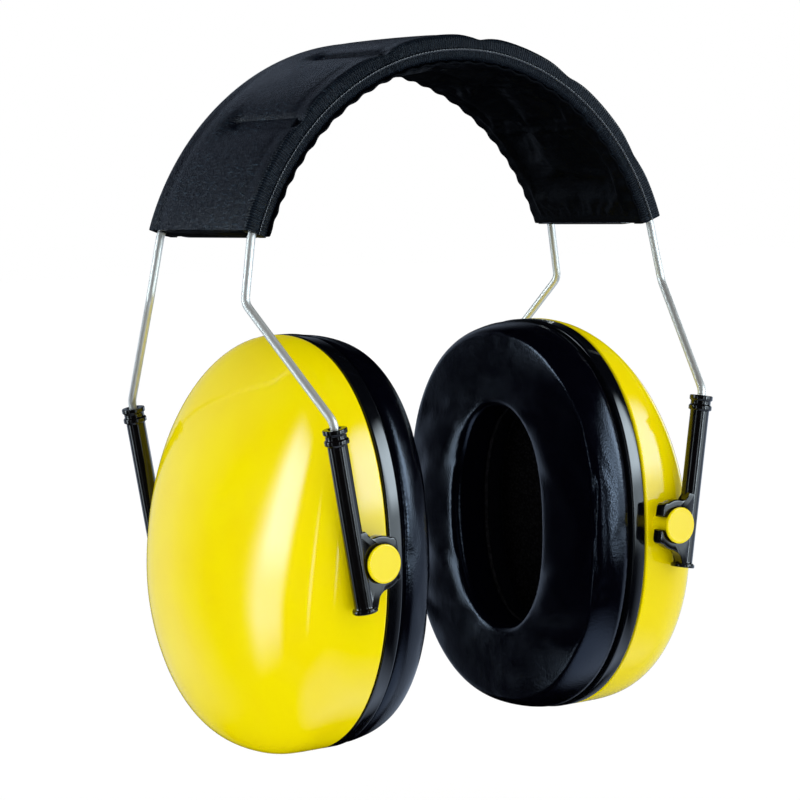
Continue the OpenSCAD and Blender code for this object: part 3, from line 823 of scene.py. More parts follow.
def in_picture(stage, points):
    """Pixel places of points of the scene, in the photograph's frame."""
    axes = np.array(camera_axes(stage).to_3x3())
    seen = (np.atleast_2d(points) - np.array(stage.place)) @ axes
    scale = max(PICTURE_W, PICTURE_H) * stage.lens / stage.sensor / -seen[:, 2]
    return np.stack([PICTURE_W / 2 + seen[:, 0] * scale, PICTURE_H / 2 - seen[:, 1] * scale], -1)


# ---------------------------------------------------------------- the headband

def on_band(band, around, y, r):
    """Points on the band: sine and cosine of the angle from the crown times the radius, about the
    band's centre line."""
    around, y, r = np.broadcast_arrays(around, y, r)
    return np.stack([r * np.sin(around), y, band.centre_z + r * np.cos(around)], -1)


def angle_of(band, point):
    """Angle of a point from the crown, about the band's centre line."""
    return math.atan2(point[0], point[2] - band.centre_z)


def bank(distance, width):
    """Soft bump: a bell curve of the distance over the width."""
    return np.exp(-(distance / width) ** 2)


def fading(distance, width):
    """Soft step from one to zero as the distance passes zero: one over one plus e to the distance over
    the width."""
    return 1 / (1 + np.exp(distance / width))


def groove_places(band, stage):
    """Angles of the pressed grooves and the place of their middle across the band. The rays through
    the two grooves that show give both; the others follow at the same pitch."""
    carrier = frame["nodes"]["headband_outer_cover"]
    seen = [on_surface(stage, name, carrier) for name in ("second_groove", "crown_groove")]
    angles = [angle_of(band, point) for point in seen]
    lines = angles[1] + (angles[1] - angles[0]) * np.arange(-9, 10)
    return lines[np.abs(lines) < band.half_angle - GROOVE_MARGIN], (seen[0].y + seen[1].y) / 2


def groove_sink(band, around, y, lines, middle):
    """How far the cover sinks at a place: a wide soft valley and a narrow pressed groove at each groove
    line, both fading out past the groove's length."""
    sink = np.zeros(np.broadcast(around, y).shape)
    past = np.abs(y - middle) - band.groove_length / 2
    for line in lines:
        away = (around - line) * band.radius
        sink = sink + band.valley_depth * bank(away, band.valley_width) * fading(past - 2.6 * MM, 1.0 * MM)
        sink = sink + band.groove_depth * bank(away, band.groove_width) ** 0.8 * fading(past, 0.5 * MM)
    return sink


def cover_section(band):
    """Outer and inner line of the cover's section, in Y and radius, with equal counts: up the stiff
    edge's side, over the top and down again, and the pocket for the padding inside."""
    half, low, high, round_r = band.width / 2, band.radius - band.edge_height, band.radius, band.edge_round
    pocket, ceiling = half - band.edge_width, band.radius - band.cover
    side = half - round_r
    outer = np.concatenate([
        [[-pocket, low]], arc((-side, low + 0.5 * round_r), 0.5 * round_r, 270, 180, 4),
        arc((-side, low + round_r), round_r, 190, 180, 2),
        arc((-side, high - round_r), round_r, 180, 90, 8),
    ])
    outer = np.concatenate([outer, outer[::-1] * [-1, 1]])
    inner = np.array([[-pocket, low], [-pocket, ceiling], [pocket, ceiling], [pocket, low]])
    return spaced(outer, 121), spaced(inner, 121)


def cover_grids(band, lines, middle):
    """The outer cover: its section carried along the band's arc, sunk at the grooves, slightly hollow
    beside the stiff edges and pinched at the ends; then a cap across each end."""
    outer, inner = cover_section(band)
    around = np.linspace(-band.half_angle, band.half_angle, 401)[:, None]
    near_end = np.clip((np.abs(around) - band.half_angle) * band.radius / (6 * MM) + 1, 0, 1)
    y, r = outer[None, :, 0], outer[None, :, 1] + 0 * around
    top = np.clip((r - band.radius + 1.5 * MM) / (1.5 * MM), 0, 1)
    crown = 0.35 * MM * (1 - (y / (band.width / 2)) ** 2)
    beside = 0.12 * MM * bank(np.abs(y) - (band.width / 2 - band.edge_width - 1 * MM), 1.6 * MM)
    pinch = 0.5 * MM * near_end ** 2 * (1 - (np.abs(y) / (band.width / 2)) ** 6)
    r = r + top * (crown - beside - pinch - groove_sink(band, around, y, lines, middle))
    outside = on_band(band, around, y, r)
    inside = on_band(band, around, inner[:, 0], inner[:, 1])
    caps = [np.stack([outside[row], inside[row]]) for row in (0, -1)]
    return [outside, inside[:, ::-1]] + caps


def tube_axis(holders):
    """Direction up a right holder's tube, which leans outward."""
    return np.array([math.sin(holders.lean), 0, math.cos(holders.lean)])


def wire_path(band, wires, holders, end):
    """Centre line of a wire: along the band's edge, out of its end, round the kink, and down the leg
    into each holder. Each corner is an arc of the bend radius, and the left half mirrors the right."""
    r = band.radius - wires.depth
    y = end * (band.width / 2 - wires.edge)
    pivot = np.array(TILT["pos_m"])
    arm_y = end * (HOLDER_BOX[1].y + HOLDER_BOX[0].y) / -2
    up = tube_axis(holders)
    foot = np.array([pivot[0] + holders.offset * up[2], arm_y, -holders.offset * up[0]])
    exit_point = on_band(band, band.half_angle, y, r)
    heading = np.array([math.cos(band.half_angle), 0, -math.sin(band.half_angle)])
    first = exit_point + 1.2 * MM * heading
    kink = exit_point + np.array([wires.kink_out, end * wires.kink_side, -wires.kink_drop])
    top = foot + (holders.above + holders.mouth_gap) * up
    last = top - wires.leg * up
    over = on_band(band, np.linspace(0, band.half_angle, 60), y, r)
    right = np.concatenate([over[:-1], rounded_corner(exit_point, first, kink, wires.bend),
                            rounded_corner(first, kink, top, wires.bend),
                            rounded_corner(kink, top, last, wires.bend), [last]])
    right = dense(right, 0.8 * MM)
    return np.concatenate([mirrored(right[:0:-1], -1), right]), kink, top


def rounded_corner(before, corner, after, radius):
    """Arc of a radius that rounds the corner between two straight runs."""
    d0, d1 = unit(corner - before), unit(after - corner)
    turn = math.acos(np.clip(d0 @ d1, -1, 1))
    start = corner - radius * math.tan(turn / 2) * d0
    side = unit(d1 - (d0 @ d1) * d0)
    a = np.linspace(0, turn, 9)[:, None]
    return start + radius * side - radius * np.cos(a) * side + radius * np.sin(a) * d0


def dense(path, step):
    """Path with its points at equal steps of about the given length."""
    return spaced(path, int(lengths(path)[-1] / step) + 1)


# ---------------------------------------------------------------- operators

class EARMUFF_OT_outer_cover(bpy.types.Operator):
    """Outer cover of the headband, with its pressed grooves, and the weld bead along each side"""
    bl_idname = "earmuff.outer_cover"
    bl_label = "Outer cover"

    def execute(self, context):
        scene = context.scene
        band, stage = scene.earmuff_band, scene.earmuff_stage
        lines, middle = groove_places(band, stage)
        cover = surface("headband_cover", cover_grids(band, lines, middle), material("cover"))
        sharpened(cover, 50)
        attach(cover, "headband")
        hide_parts("headband_outer_cover")
        # The bead runs along both sides at the radius where the photograph shows it
        seen = on_surface(stage, "edge_weld", cover)
        bead_r = math.hypot(seen.x, seen.z - band.centre_z)
        bead_r = min(max(bead_r, band.radius - band.edge_height + 0.4 * MM), band.radius - 2 * MM)
        around = np.linspace(-band.half_angle, band.half_angle, 1100)
        lump_pitch = 0.95 * MM
        pulse = 1 + 0.25 * np.sin(around * bead_r / lump_pitch * 2 * math.pi)
        for name, end in ENDS.items():
            path = on_band(band, around, end * (band.width / 2 - 0.05 * MM), bead_r)
            bead = surface("weld_bead_" + name, [swept(path, WELD_R * pulse, 8)], material("bead"))
            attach(bead, "headband")
        return {"FINISHED"}


def lining_grid(band, lines):
    """The lining: it bulges between the stiff edges, by the root of one minus the place over the pocket's
    half width to the power of 2.6, and less at its grooves and toward its ends. The flange beside the
    padding is drawn wavy by its weld."""
    reach, half = band.half_angle - END_MARGIN, band.width / 2 - 0.3 * MM
    pocket, seam_r = band.width / 2 - band.edge_width, band.radius - band.edge_height
    around = np.linspace(-reach, reach, 181)[:, None]
    y = np.linspace(-half, half, 47)[None, :]
    bulge = np.maximum(0, 1 - (np.abs(y) / pocket) ** 2.6) ** 0.5
    end_run, wave_pitch, wave_height = 9 * MM, 5.6 * MM, 0.28 * MM
    ends = 1 - np.clip((np.abs(around) - reach) * band.radius / end_run + 1, 0, 1) ** 1.6
    sink = np.clip(sum(bank((np.abs(around) - line) * band.radius, 1.3 * MM) for line in lines), 0, 1)
    sink = sink * fading(np.abs(y) - band.groove_length / 2, 0.8 * MM)
    drop = (band.depth - band.edge_height - 0.4 * MM) * bulge * ends * (1 - 0.7 * sink)
    wave = np.sin(around * band.radius / wave_pitch * 2 * math.pi + 2 * np.sin(5 * around) + 60 * y)
    wave = wave_height * wave * np.clip((np.abs(y) - pocket) / (3 * MM), 0, 1) * ends
    return on_band(band, around, y, seam_r - band.lining - 0.06 * MM - drop + wave)


def lining_held(band, mesh, lines):
    """Points of the lining that its welds hold: along its flanges, its ends and its grooves."""
    pocket, reach = band.width / 2 - band.edge_width, band.half_angle - END_MARGIN
    x, y, z = points_of(mesh).T
    at = np.abs(np.arctan2(x, z - band.centre_z))
    held = (np.abs(y) > pocket - 0.5 * MM) | (at > reach - 3 * MM / band.radius)
    for line in lines:
        held |= (np.abs(at - line) * band.radius < 1.2 * MM) & (np.abs(y) < band.groove_length / 2)
    return held


def turned_inward(band, mesh):
    """Turns the faces of a sheet along the band toward the head."""
    normals = np.array([face.normal for face in mesh.polygons])
    centres = np.array([face.center for face in mesh.polygons])
    if (normals * ([0, 0, band.centre_z] - centres * [1, 0, 1])).sum() < 0:
        mesh.flip_normals()


def strip(band, around, half_w, r, half_t):
    """Flat strip along the band's middle with a rounded section, a superellipse of exponent 4 in Y and
    radius, closed at both ends."""
    a = np.linspace(0, 2 * np.pi, 33)
    y, rise = half_w * signed_power(np.cos(a), 0.5), r + half_t * signed_power(np.sin(a), 0.5)
    grid = on_band(band, around[:, None], y, rise)
    ends = [on_band(band, around[i], np.zeros(33), r)[None] for i in (0, -1)]
    return np.concatenate([ends[0], grid, ends[1]])


def lining_ends(band, weld_angle):
    """Grids of the plugs that close the ends of the cover's pocket, and of the welds across the lining's
    ends, which are drawn to a point at both sides."""
    pocket = band.width / 2 - band.edge_width
    seam_r, ceiling = band.radius - band.edge_height, band.radius - band.cover - 0.1 * MM
    mid_r, half_t = (ceiling + seam_r) / 2, (ceiling - seam_r) / 2
    line, step = np.linspace(-pocket, pocket, 60), np.arange(60)
    drawn = np.sqrt(np.minimum(1, np.minimum(step, step[::-1]) / 6))
    plugs, welds = [], []
    for side in (-1, 1):
        around = side * np.linspace(band.half_angle - 0.05, band.half_angle - 0.002, 9)
        plugs.append(strip(band, around, pocket - 0.1 * MM, mid_r, half_t))
        path = on_band(band, side * weld_angle, line, seam_r - band.lining - 0.15 * MM)
        welds.append(swept(path, WELD_R * drawn, 12, (1, 0, 0)))
    return plugs, welds


class EARMUFF_OT_lining(bpy.types.Operator):
    """Padded lining under the headband, with its grooves, side flanges and end welds"""
    bl_idname = "earmuff.lining"
    bl_label = "Lining"

    def execute(self, context):
        band, stage = context.scene.earmuff_band, context.scene.earmuff_stage
        carrier = frame["nodes"]["headband_inner_cover"]
        groove, weld = (abs(angle_of(band, on_surface(stage, name, carrier)))
                        for name in ("lining_groove", "lining_end_weld"))
        lines = [0, 0.5 * groove, groove]
        pad = surface("headband_lining", [lining_grid(band, lines)], material("lining"))
        turned_inward(band, pad.data)
        puffed(pad, lining_held(band, pad.data, lines), 9.0, band.swell, -0.06)
        thick = pad.modifiers.new("Solidify", "SOLIDIFY")
        thick.thickness = band.lining
        thick.offset = -1
        refined(pad, 1)
        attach(pad, "headband")
        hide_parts("headband_inner_cover")
        plugs, welds = lining_ends(band, min(weld, band.half_angle - END_MARGIN))
        plug = surface("headband_end_plugs", plugs, material("lining"))
        weld = surface("lining_end_welds", welds, material("bead"))
        for piece in (plug, weld):
            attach(piece, "headband")
        finish_node("headband_foam_pad", "foam")
        return {"FINISHED"}


class EARMUFF_OT_wires(bpy.types.Operator):
    """Two sprung steel wires, with domed ends inside the holders"""
    bl_idname = "earmuff.wires"
    bl_label = "Spring wires"

    def execute(self, context):
        scene = context.scene
        for name, end in ENDS.items():
            path = wire_path(scene.earmuff_band, scene.earmuff_wires, scene.earmuff_holders, end)[0]
            radius = np.full(len(path), scene.earmuff_wires.diameter / 2)
            radius[[0, -1]] = 0
            radius[[1, -2]] *= 0.8
            wire = surface(name + "_wire", [swept(path, radius, 20)], material("wire"))
            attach(wire, "headband")
            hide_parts(name + "_spring_wire")
        return {"FINISHED"}


def holder_tube(holders, bore):
    """Profile of the tube, radius and height: flared foot, barrel and stepped collar outside, with small
    rounds, and the bore inside."""
    r, foot, wide = holders.tube / 2, holders.foot / 2, holders.collar / 2
    low, top, base = holders.above - holders.collar_height, holders.above, -holders.below
    edge, ring = 0.22 * MM, 1.2 * MM
    return np.concatenate([
        [[bore + 0.3 * MM, base]],
        arc((foot - edge, base + edge), edge, -90, 0, 5),
        arc((foot - edge, base + 0.9 * MM - edge), edge, 0, 80, 5),
        arc((r + 0.6 * MM, base + 1.55 * MM), 0.6 * MM, 260, 180, 6),
        [[r, base + 12 * MM], [r, low - 8 * MM]],
        arc((r + 0.3 * MM, low - 0.3 * MM), 0.3 * MM, 180, 120, 4),
        arc((wide - edge, low + edge), edge, -60, 0, 4),
        arc((wide - edge, low + ring - edge), edge, 0, 60, 4),
        [[r + 0.15 * MM, low + ring + 0.25 * MM], [r + 0.15 * MM, top - ring - 0.25 * MM]],
        arc((wide - edge, top - ring + edge), edge, -60, 0, 4),
        arc((wide - edge, top - edge), edge, 0, 90, 5),
        arc((bore + 0.8 * MM, top - 0.6 * MM), 0.6 * MM, 90, 180, 5),
        [[bore, top - 1.2 * MM], [bore, base + 0.4 * MM], [bore + 0.3 * MM, base]],
    ])


def clip_half(holders, web):
    """Outer line of half a clip, from the jaw's tip to the tube's axis: jaw, ring, then the hollow of
    radius web that touches both the ring and the tube."""
    ring, slot = holders.clip / 2, holders.jaw_slot / 2
    tip, jaw, soft = -holders.jaw_reach, holders.jaw_height, 1.3 * MM
    hollow_x = holders.offset - holders.tube / 2 - web + 0.2 * MM
    hollow_z = math.sqrt((ring + web) ** 2 - hollow_x ** 2)
    touch = math.degrees(math.atan2(hollow_z, hollow_x))
    jaw_meet = 180 - math.degrees(math.asin(jaw / ring))
    return np.concatenate([
        [[tip, slot + TIP_ROUND]],
        arc((tip + soft, jaw - soft), soft, 180, 90, 8),
        arc((0, 0), ring, jaw_meet, touch, 16),
        arc((hollow_x, hollow_z), web, touch + 180, 360, 12),
        [[holders.offset, hollow_z]],
        [[holders.offset, 0]],
    ])


def clip_lines(holders):
    """Outer and inner line of the clip, across and up from the pivot, from the upper jaw's tip round the
    bearing to the lower jaw's tip: jaw, ring, hollow and tube outside; slot and bore inside."""
    bore, slot, tip = holders.bearing / 2, holders.jaw_slot / 2, -holders.jaw_reach
    upper, lower = clip_half(holders, holders.web), clip_half(holders, holders.web_foot)
    outer = np.concatenate([upper, lower[-2::-1] * [1, -1]])
    open_at = 180 - math.degrees(math.asin(slot / bore))
    inner = np.concatenate([[[tip + TIP_ROUND, slot]], arc((0, 0), bore, open_at, -open_at, 64),
                            [[tip + TIP_ROUND, -slot]]])
    return outer, inner


def clip_grid(holders, end):
    """The clip: at each place between its tips, a rounded rectangle from the inner line to the outer line
    and through the clip's thickness, which lies toward the tube's outer side. Both lines go by their
    lengths, and the tips close on their middle."""
    count = 181
    outer, inner = (spaced(line, count) for line in clip_lines(holders))
    half_t, edge = holders.clip_thickness / 2, 0.45 * MM
    out = end * ((holders.tube - holders.clip_thickness) / 2 - holders.clip_sink)
    gap = unit(outer - inner)
    a = np.radians(np.linspace(0, 90, 4))
    rows = []
    for sign_w, sign_t in ((1, 1), (-1, 1), (-1, -1), (1, -1)):
        bend = a if sign_w * sign_t > 0 else a[::-1]
        line = outer if sign_w > 0 else inner
        for t in bend:
            flat = line - sign_w * edge * (1 - math.cos(t)) * gap
            deep = out + sign_t * (half_t - edge * (1 - math.sin(t)))
            rows.append(np.stack([flat[:, 0], np.full(count, deep), flat[:, 1]], -1))
    rows.append(rows[0])
    grid = np.stack(rows, 1)
    tips = [np.repeat(grid[i, :-1].mean(0)[None, None], grid.shape[1], 1) for i in (0, -1)]
    return np.concatenate([tips[0], grid, tips[1]])


class EARMUFF_OT_holders(bpy.types.Operator):
    """Four wire holders: a stepped tube that slides on the wire, and a clip round the cup's stud"""
    bl_idname = "earmuff.holders"
    bl_label = "Wire holders"

    def execute(self, context):
        scene = context.scene
        holders, wires = scene.earmuff_holders, scene.earmuff_wires
        bore = wires.diameter / 2 + 0.08 * MM
        profile = dense(holder_tube(holders, bore), 0.12 * MM)
        tube = turned(profile, 48) + np.array([holders.offset, 0, 0])
        arm_y = -(HOLDER_BOX[0].y + HOLDER_BOX[1].y) / 2
        for side_name, side in SIDES.items():
            for end_name, end in ENDS.items():
                place = (Matrix.Translation((TILT["pos_m"][0], end * arm_y, 0))
                         @ Matrix.Rotation(holders.lean, 4, "Y"))
                grids = [mirrored(placed(g, place), side) for g in (tube, clip_grid(holders, end))]
                name = f"{side_name}_{end_name}"
                holder = surface(name + "_holder", grids, material("holder"))
                sharpened(holder, 40)
                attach(holder, name + "_arm")
                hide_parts(name + "_wire_holder")
        return {"FINISHED"}


def both_sides(suffix, grids, kind):
    """Makes a piece on each side from grids of the right side. Gives it with its side's name."""
    for side_name, side in SIDES.items():
        handed = [mirrored(grid, side) for grid in grids]
        yield surface(side_name + suffix, handed, material(kind)), side_name


def shell_grid(cups):
    """The cup's wall: down the inside to the rim, round the rim's outer corner and up the outside."""
    outer = dome(cups, 0, 110, 232)
    inner = dome(cups, cups.wall, 40, 232)
    corner = 0.4 * MM
    inward = 1 - np.array([[1.0], [0.3]]) * corner / (cups.width / 2) * [0, 1, 1]
    rows = outer[0] * inward[:, None]
    rows[1, :, 0] += 0.3 * corner
    outer[0, :, 0] += corner
    return np.concatenate([inner[::-1], rows, outer])


def stud_grid(cups):
    """Pivot stud along Z, from inside the cup's wall: its neck, then its head with a rounded rim."""
    root, top = (cups.width - cups.wall) / 2, SHELL_BOX[1].y
    under, neck, head, soft = top - cups.head_thickness, cups.neck / 2, cups.head / 2, 0.3 * MM
    profile = np.concatenate([
        [[0, root], [neck, root], [neck, under], [head - STUD_EDGE, under]],
        arc((head - STUD_EDGE, under + STUD_EDGE), STUD_EDGE, -90, 0, 3),
        arc((head - soft, top - soft), soft, 0, 90, 7),
        [[head - 0.9 * MM, top - SEAM_GAP], [0, top - SEAM_GAP]],
    ])
    return turned(spaced(profile, 90), 64)


class EARMUFF_OT_shells(bpy.types.Operator):
    """Two moulded cup shells with their pivot studs"""
    bl_idname = "earmuff.shells"
    bl_label = "Cup shells"

    def execute(self, context):
        cups = context.scene.earmuff_cups
        pivot, stud = Matrix.Translation((TILT["pos_m"][0], 0, 0)), stud_grid(cups)
        studs = [placed(stud, pivot @ Matrix.Rotation(-end * math.pi / 2, 4, "X")) for end in ENDS.values()]
        for piece, side_name in both_sides("_shell", [shell_grid(cups)] + studs, "shell"):
            sharpened(piece, 60)
            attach(piece, side_name + "_cup")
            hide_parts(side_name + "_cup_shell")
        return {"FINISHED"}


def absorber_grid(cups):
    """The foam: a cut face toward the ear that falls off by the fourth power of its reach and is crowned
    by the square of a sine, then the dome's inside."""
    face_x, fall_x = FOAM_BOX[0].x, 0.8 * MM
    back = dome(cups, cups.wall + 0.7 * MM, 26, 120, face_x + fall_x)
    centre = np.array([0, 0, back[0, :, 2].mean()])
    t = np.linspace(0, 1, 22)[:, None, None]
    front = centre + (back[0] - centre) * t
    fall = t[..., 0] ** 4
    crown = 0.35 * MM * np.sin(front[:, :, 1] / (7 * MM)) ** 2
    front[:, :, 0] = face_x + fall_x * fall + crown * (1 - fall)
    return np.concatenate([front, back])


class EARMUFF_OT_absorbers(bpy.types.Operator):
    """Foam that fills each cup's crown, with a softly crowned cut face toward the ear"""
    bl_idname = "earmuff.absorbers"
    bl_label = "Absorber foams"

    def execute(self, context):
        grid = absorber_grid(context.scene.earmuff_cups)
        for piece, side_name in both_sides("_absorber", [grid], "foam"):
            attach(piece, side_name + "_cup")
            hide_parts(side_name + "_absorber_foam")
        return {"FINISHED"}


def plate_grid(cups, cushions):
    """The plate: its inner face from the ear opening out, its rounded edge, the step under the cup's rim
    and its back."""
    soft, step = cushions.plate_round, cushions.plate_step
    low, high, back = cushions.plate_x, cushions.plate_x + cushions.plate, cups.rim_x - SEAM_GAP
    # Places along X and insets from the outline; the opening's own inset is 1 mm
    edge = np.concatenate([
        arc((low + soft, soft), soft, 180, 270, 7),
        arc((high - soft, soft), soft, 270, 360, 7),
        [[high, step], [back, step]],
    ])
    x = np.concatenate([[low], edge[:, 0], [back, low]])
    inset = np.concatenate([[1 * MM], edge[:, 1], [1 * MM, 1 * MM]])
    share = np.concatenate([[1], np.zeros(len(edge)), [1, 1]])
    return ring_between(cups, cushions, x, share, inset, 256)


class EARMUFF_OT_plates(bpy.types.Operator):
    """Gloss plates that close the cups and carry the cushions"""
    bl_idname = "earmuff.plates"
    bl_label = "Cushion plates"

    def execute(self, context):
        grid = plate_grid(context.scene.earmuff_cups, context.scene.earmuff_cushions)
        for piece, side_name in both_sides("_plate", [grid], "plate"):
            sharpened(piece, 35)
            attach(piece, side_name + "_cup")
            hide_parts(side_name + "_cushion_plate")
        return {"FINISHED"}


def cushion_grid(cups, cushions):
    """The foil: rings from the plate up the outer side, over the face and down the ear opening. Depths are
    shares of the way from the face to the plate, and shares go from the outline to the opening."""
    depth = cushions.plate_x - 0.12 * MM - cushions.seal_x
    # Depths and shares down the outer side: an ellipse from the face, whose depth reaches a little
    # past the plate, so that it is cut off before it stands upright
    reach = 1.12
    turn = np.linspace(0, math.acos(1 - 1 / reach), 15)
    outer_depth = reach * (1 - np.cos(turn))
    outer_share = FACE_SHARE * (1 - np.sin(turn) / math.sin(turn[-1]))
    # Down the opening: a tight rounding, then a straight wall
    turn = np.radians(np.linspace(0, 90, 7))
    inner_depth = np.concatenate([0.2 * (1 - np.cos(turn)), [0.35, 0.55, 0.78, 1.0]])
    inner_share = np.concatenate([1 - 0.1 * (1 - np.sin(turn)), [1, 1, 1, 1]])
    face = np.linspace(0, 1, 12)[1:-1]
    face_share = FACE_SHARE + (0.9 - FACE_SHARE) * face
    d = np.concatenate([outer_depth[::-1], 0 * face, inner_depth])
    s = np.concatenate([outer_share[::-1], face_share, inner_share])
    tuck = cushions.tuck * np.clip((d - 0.86) / 0.14, 0, 1) ** 2 * (np.arange(len(d)) < 8)
    x = cushions.seal_x + d * depth
    # The back closes the foil, through a ring at its middle
    x = np.append(x, [x[0], x[0]])
    s = np.append(s, [0.55, 0.0])
    inset = cushions.inset + np.append(tuck, [0, tuck[0]])
    return ring_between(cups, cushions, x, s, inset, 132)


class EARMUFF_OT_cushions(bpy.types.Operator):
    """Sealing cushions: foil drawn over foam and liquid, puffed by a cloth simulation"""
    bl_idname = "earmuff.cushions"
    bl_label = "Sealing cushions"

    def execute(self, context):
        cups, cushions = context.scene.earmuff_cups, context.scene.earmuff_cushions
        grid = cushion_grid(cups, cushions)
        for piece, side_name in both_sides("_cushion", [grid], "foil"):
            held = np.abs(points_of(piece.data)[:, 0]) > cushions.plate_x - 2.4 * MM
            puffed(piece, held, 3.0, cushions.swell, -0.01)
            refined(piece, 1)
            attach(piece, side_name + "_cup")
            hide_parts(side_name + "_cushion_cover")
            finish_node(side_name + "_cushion_foam_ring", "foam")
            finish_node(side_name + "_cushion_liquid_ring", "liquid")
        return {"FINISHED"}


def soft_box(name, azimuth, elevation, distance, width, height, radiance, edge):
    """Rectangular lamp that faces the origin from a direction in degrees and shows in reflections only.
    The azimuth goes from the front toward the right. Its power gives the radiance over its area:
    radiance times area times pi. It fades out over a share of its sides, as a cloth diffuser does."""
    lamp = bpy.data.lights.new(name, "AREA")
    lamp.shape = "RECTANGLE"
    lamp.size, lamp.size_y = width, height
    lamp.energy = radiance * width * height * math.pi
    tree = emptied(lamp)
    sides = add_node(tree, "NewGeometry").outputs["Parametric"]
    place = add_node(tree, "SeparateXYZ", (), Vector=sides).outputs
    fades = []
    for side in place[:2]:
        node = add_node(tree, "MapRange", {"interpolation_type": "SMOOTHSTEP", 2: edge},
                        Value=maths(tree, "PINGPONG", side, 0.5))
        fades.append(node.outputs[0])
    share = maths(tree, "MULTIPLY", *fades)
    glow = add_node(tree, "Emission", {"Color": hex_colour("E3F4FF")}, Strength=share)
    add_node(tree, "OutputLight", (), Surface=glow.outputs[0])
    thing = added(name, lamp)
    a, e = math.radians(azimuth), math.radians(elevation)
    toward = Vector((math.sin(a) * math.cos(e), -math.cos(a) * math.cos(e), math.sin(e)))
    thing.location = toward * distance
    thing.rotation_euler = toward.to_track_quat("Z", "Y").to_euler()
    thing.visible_camera = False
    thing.visible_diffuse = False


def add_camera(stage):
    """Camera with the place, turn and lens that the image points settled."""
    camera = bpy.data.cameras.new("camera")
    camera.sensor_fit = "AUTO"
    camera.sensor_width = stage.sensor
    camera.lens = stage.lens
    camera.clip_start = 0.01
    viewer = added("camera", camera)
    viewer.matrix_world = Matrix.Translation(stage.place) @ camera_axes(stage)
    bpy.context.scene.camera = viewer


def add_room(stage):
    """White paper floor, which the camera sees as nearly pure white, and a white tent over the whole set
    that gives the even light. Neither shows in reflections."""
    ground, tree, shader = start_material("stage_floor_white_paper", WHITE, 0.9)
    share = maths(tree, "MULTIPLY", add_node(tree, "LightPath").outputs["Is Camera Ray"], 0.9)
    plain_white = add_node(tree, "Emission", {"Color": WHITE, "Strength": 1.0})
    mix = add_node(tree, "MixShader", (), i0=share, i1=shader.outputs[0], i2=plain_white.outputs[0])
    tree.links.new(mix.outputs[0], tree.nodes["Material Output"].inputs["Surface"])
    x, y = np.meshgrid([-FLOOR_HALF, FLOOR_HALF], [-FLOOR_HALF, FLOOR_HALF])
    floor = surface("stage_floor", [np.stack([x, y, 0 * x + stage.floor_z], -1)], ground)
    floor.visible_glossy = False
    cloth = bpy.data.materials.new("stage_tent_white_cloth")
    tree = emptied(cloth)
    glow = add_node(tree, "Emission", {"Color": WHITE, "Strength": stage.fill})
    add_node(tree, "OutputMaterial", (), Surface=glow.outputs[0])
    bend = arc((0, stage.floor_z - TENT_DROP), TENT_R, 0, 90, 13)
    tent = surface("stage_tent", [turned(bend, 32)], cloth)
    for hidden in ("visible_camera", "visible_glossy", "visible_transmission", "visible_shadow"):
        setattr(tent, hidden, False)
    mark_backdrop(floor, tent)


def add_world():
    """World that the camera sees as white. Reflections show a cool glow low behind the object, the white
    table in front of it and a pale wall low at the right; nothing else is lit by it. Each range
    says where along a direction's x (right), y (back) or z (up) a part starts and where it is full."""
    world = bpy.data.worlds.new("studio")
    tree = emptied(world)
    path = add_node(tree, "LightPath").outputs
    way = add_node(tree, "TexCoord").outputs["Generated"]
    x, y, z = add_node(tree, "SeparateXYZ", (), Vector=way).outputs
    glow = ranged(tree, y, 0.5, 0.8, 0.0, 0.8)
    right = maths(tree, "SUBTRACT", x, ranged(tree, z, 0.15, 0.3, 0.0, 0.35))
    for place, start, full in ((x, -0.54, -0.34), (right, 0.35, 0.1), (z, -0.55, -0.3), (z, 0.6, 0.12)):
        glow = maths(tree, "MULTIPLY", glow, ranged(tree, place, start, full))
    table = maths(tree, "MULTIPLY", ranged(tree, z, -0.6, -0.8, 0.0, 1.4), ranged(tree, y, 0.15, -0.15))
    wall = maths(tree, "MULTIPLY", ranged(tree, x, 0.6, 0.8, 0.0, 0.9), ranged(tree, z, 0.1, -0.1))
    glow = maths(tree, "MAXIMUM", maths(tree, "MAXIMUM", glow, table), wall)
    seen = maths(tree, "MAXIMUM", path["Is Glossy Ray"], path["Is Transmission Ray"])
    reflected = add_node(tree, "Background", {"Color": hex_colour("D2E4FF")},
                         Strength=maths(tree, "MULTIPLY", glow, seen)).outputs[0]
    direct = add_node(tree, "Background", {"Color": WHITE, "Strength": 1.0}).outputs[0]
    mix = add_node(tree, "MixShader", (), i0=path["Is Camera Ray"], i1=reflected, i2=direct)
    add_node(tree, "OutputWorld", (), Surface=mix.outputs[0])
    bpy.context.scene.world = world


class EARMUFF_OT_stage(bpy.types.Operator):
    """Camera at the photograph's angle, a white floor and surround, and soft studio light"""
    bl_idname = "earmuff.stage"
    bl_label = "Stage"

    def execute(self, context):
        context.scene.view_settings.view_transform = "Standard"
        stage = context.scene.earmuff_stage
        add_camera(stage)
        add_room(stage)
        add_world()
        # Azimuth, elevation, distance, width, height, radiance and fading share
        soft_box("soft_box_back_left", -122, 4, 1.2, 0.5, 1.4, 5.0, 0.3)
        soft_box("soft_box_back_left_core", -120, 16, 1.15, 0.44, 0.8, 5.0, 0.3)
        soft_box("soft_box_front_right", 30, 10, 1.4, 1.45, 1.3, 2.6, 0.25)
        soft_box("strip_front_right", 15, 6, 1.5, 0.15, 1.3, 16.0, 0.4)
        soft_box("soft_box_right", 104, 8, 1.3, 0.5, 0.6, 2.8, 0.3)
        soft_box("soft_box_front_right_core", 40, 22, 1.35, 0.7, 1.0, 6.5, 0.25)
        soft_box("strip_left", -80, 0, 1.4, 0.2, 1.3, 4.5, 0.45)
        soft_box("strip_front", -12, 2, 1.5, 0.26, 1.2, 4.5, 0.45)
        return {"FINISHED"}


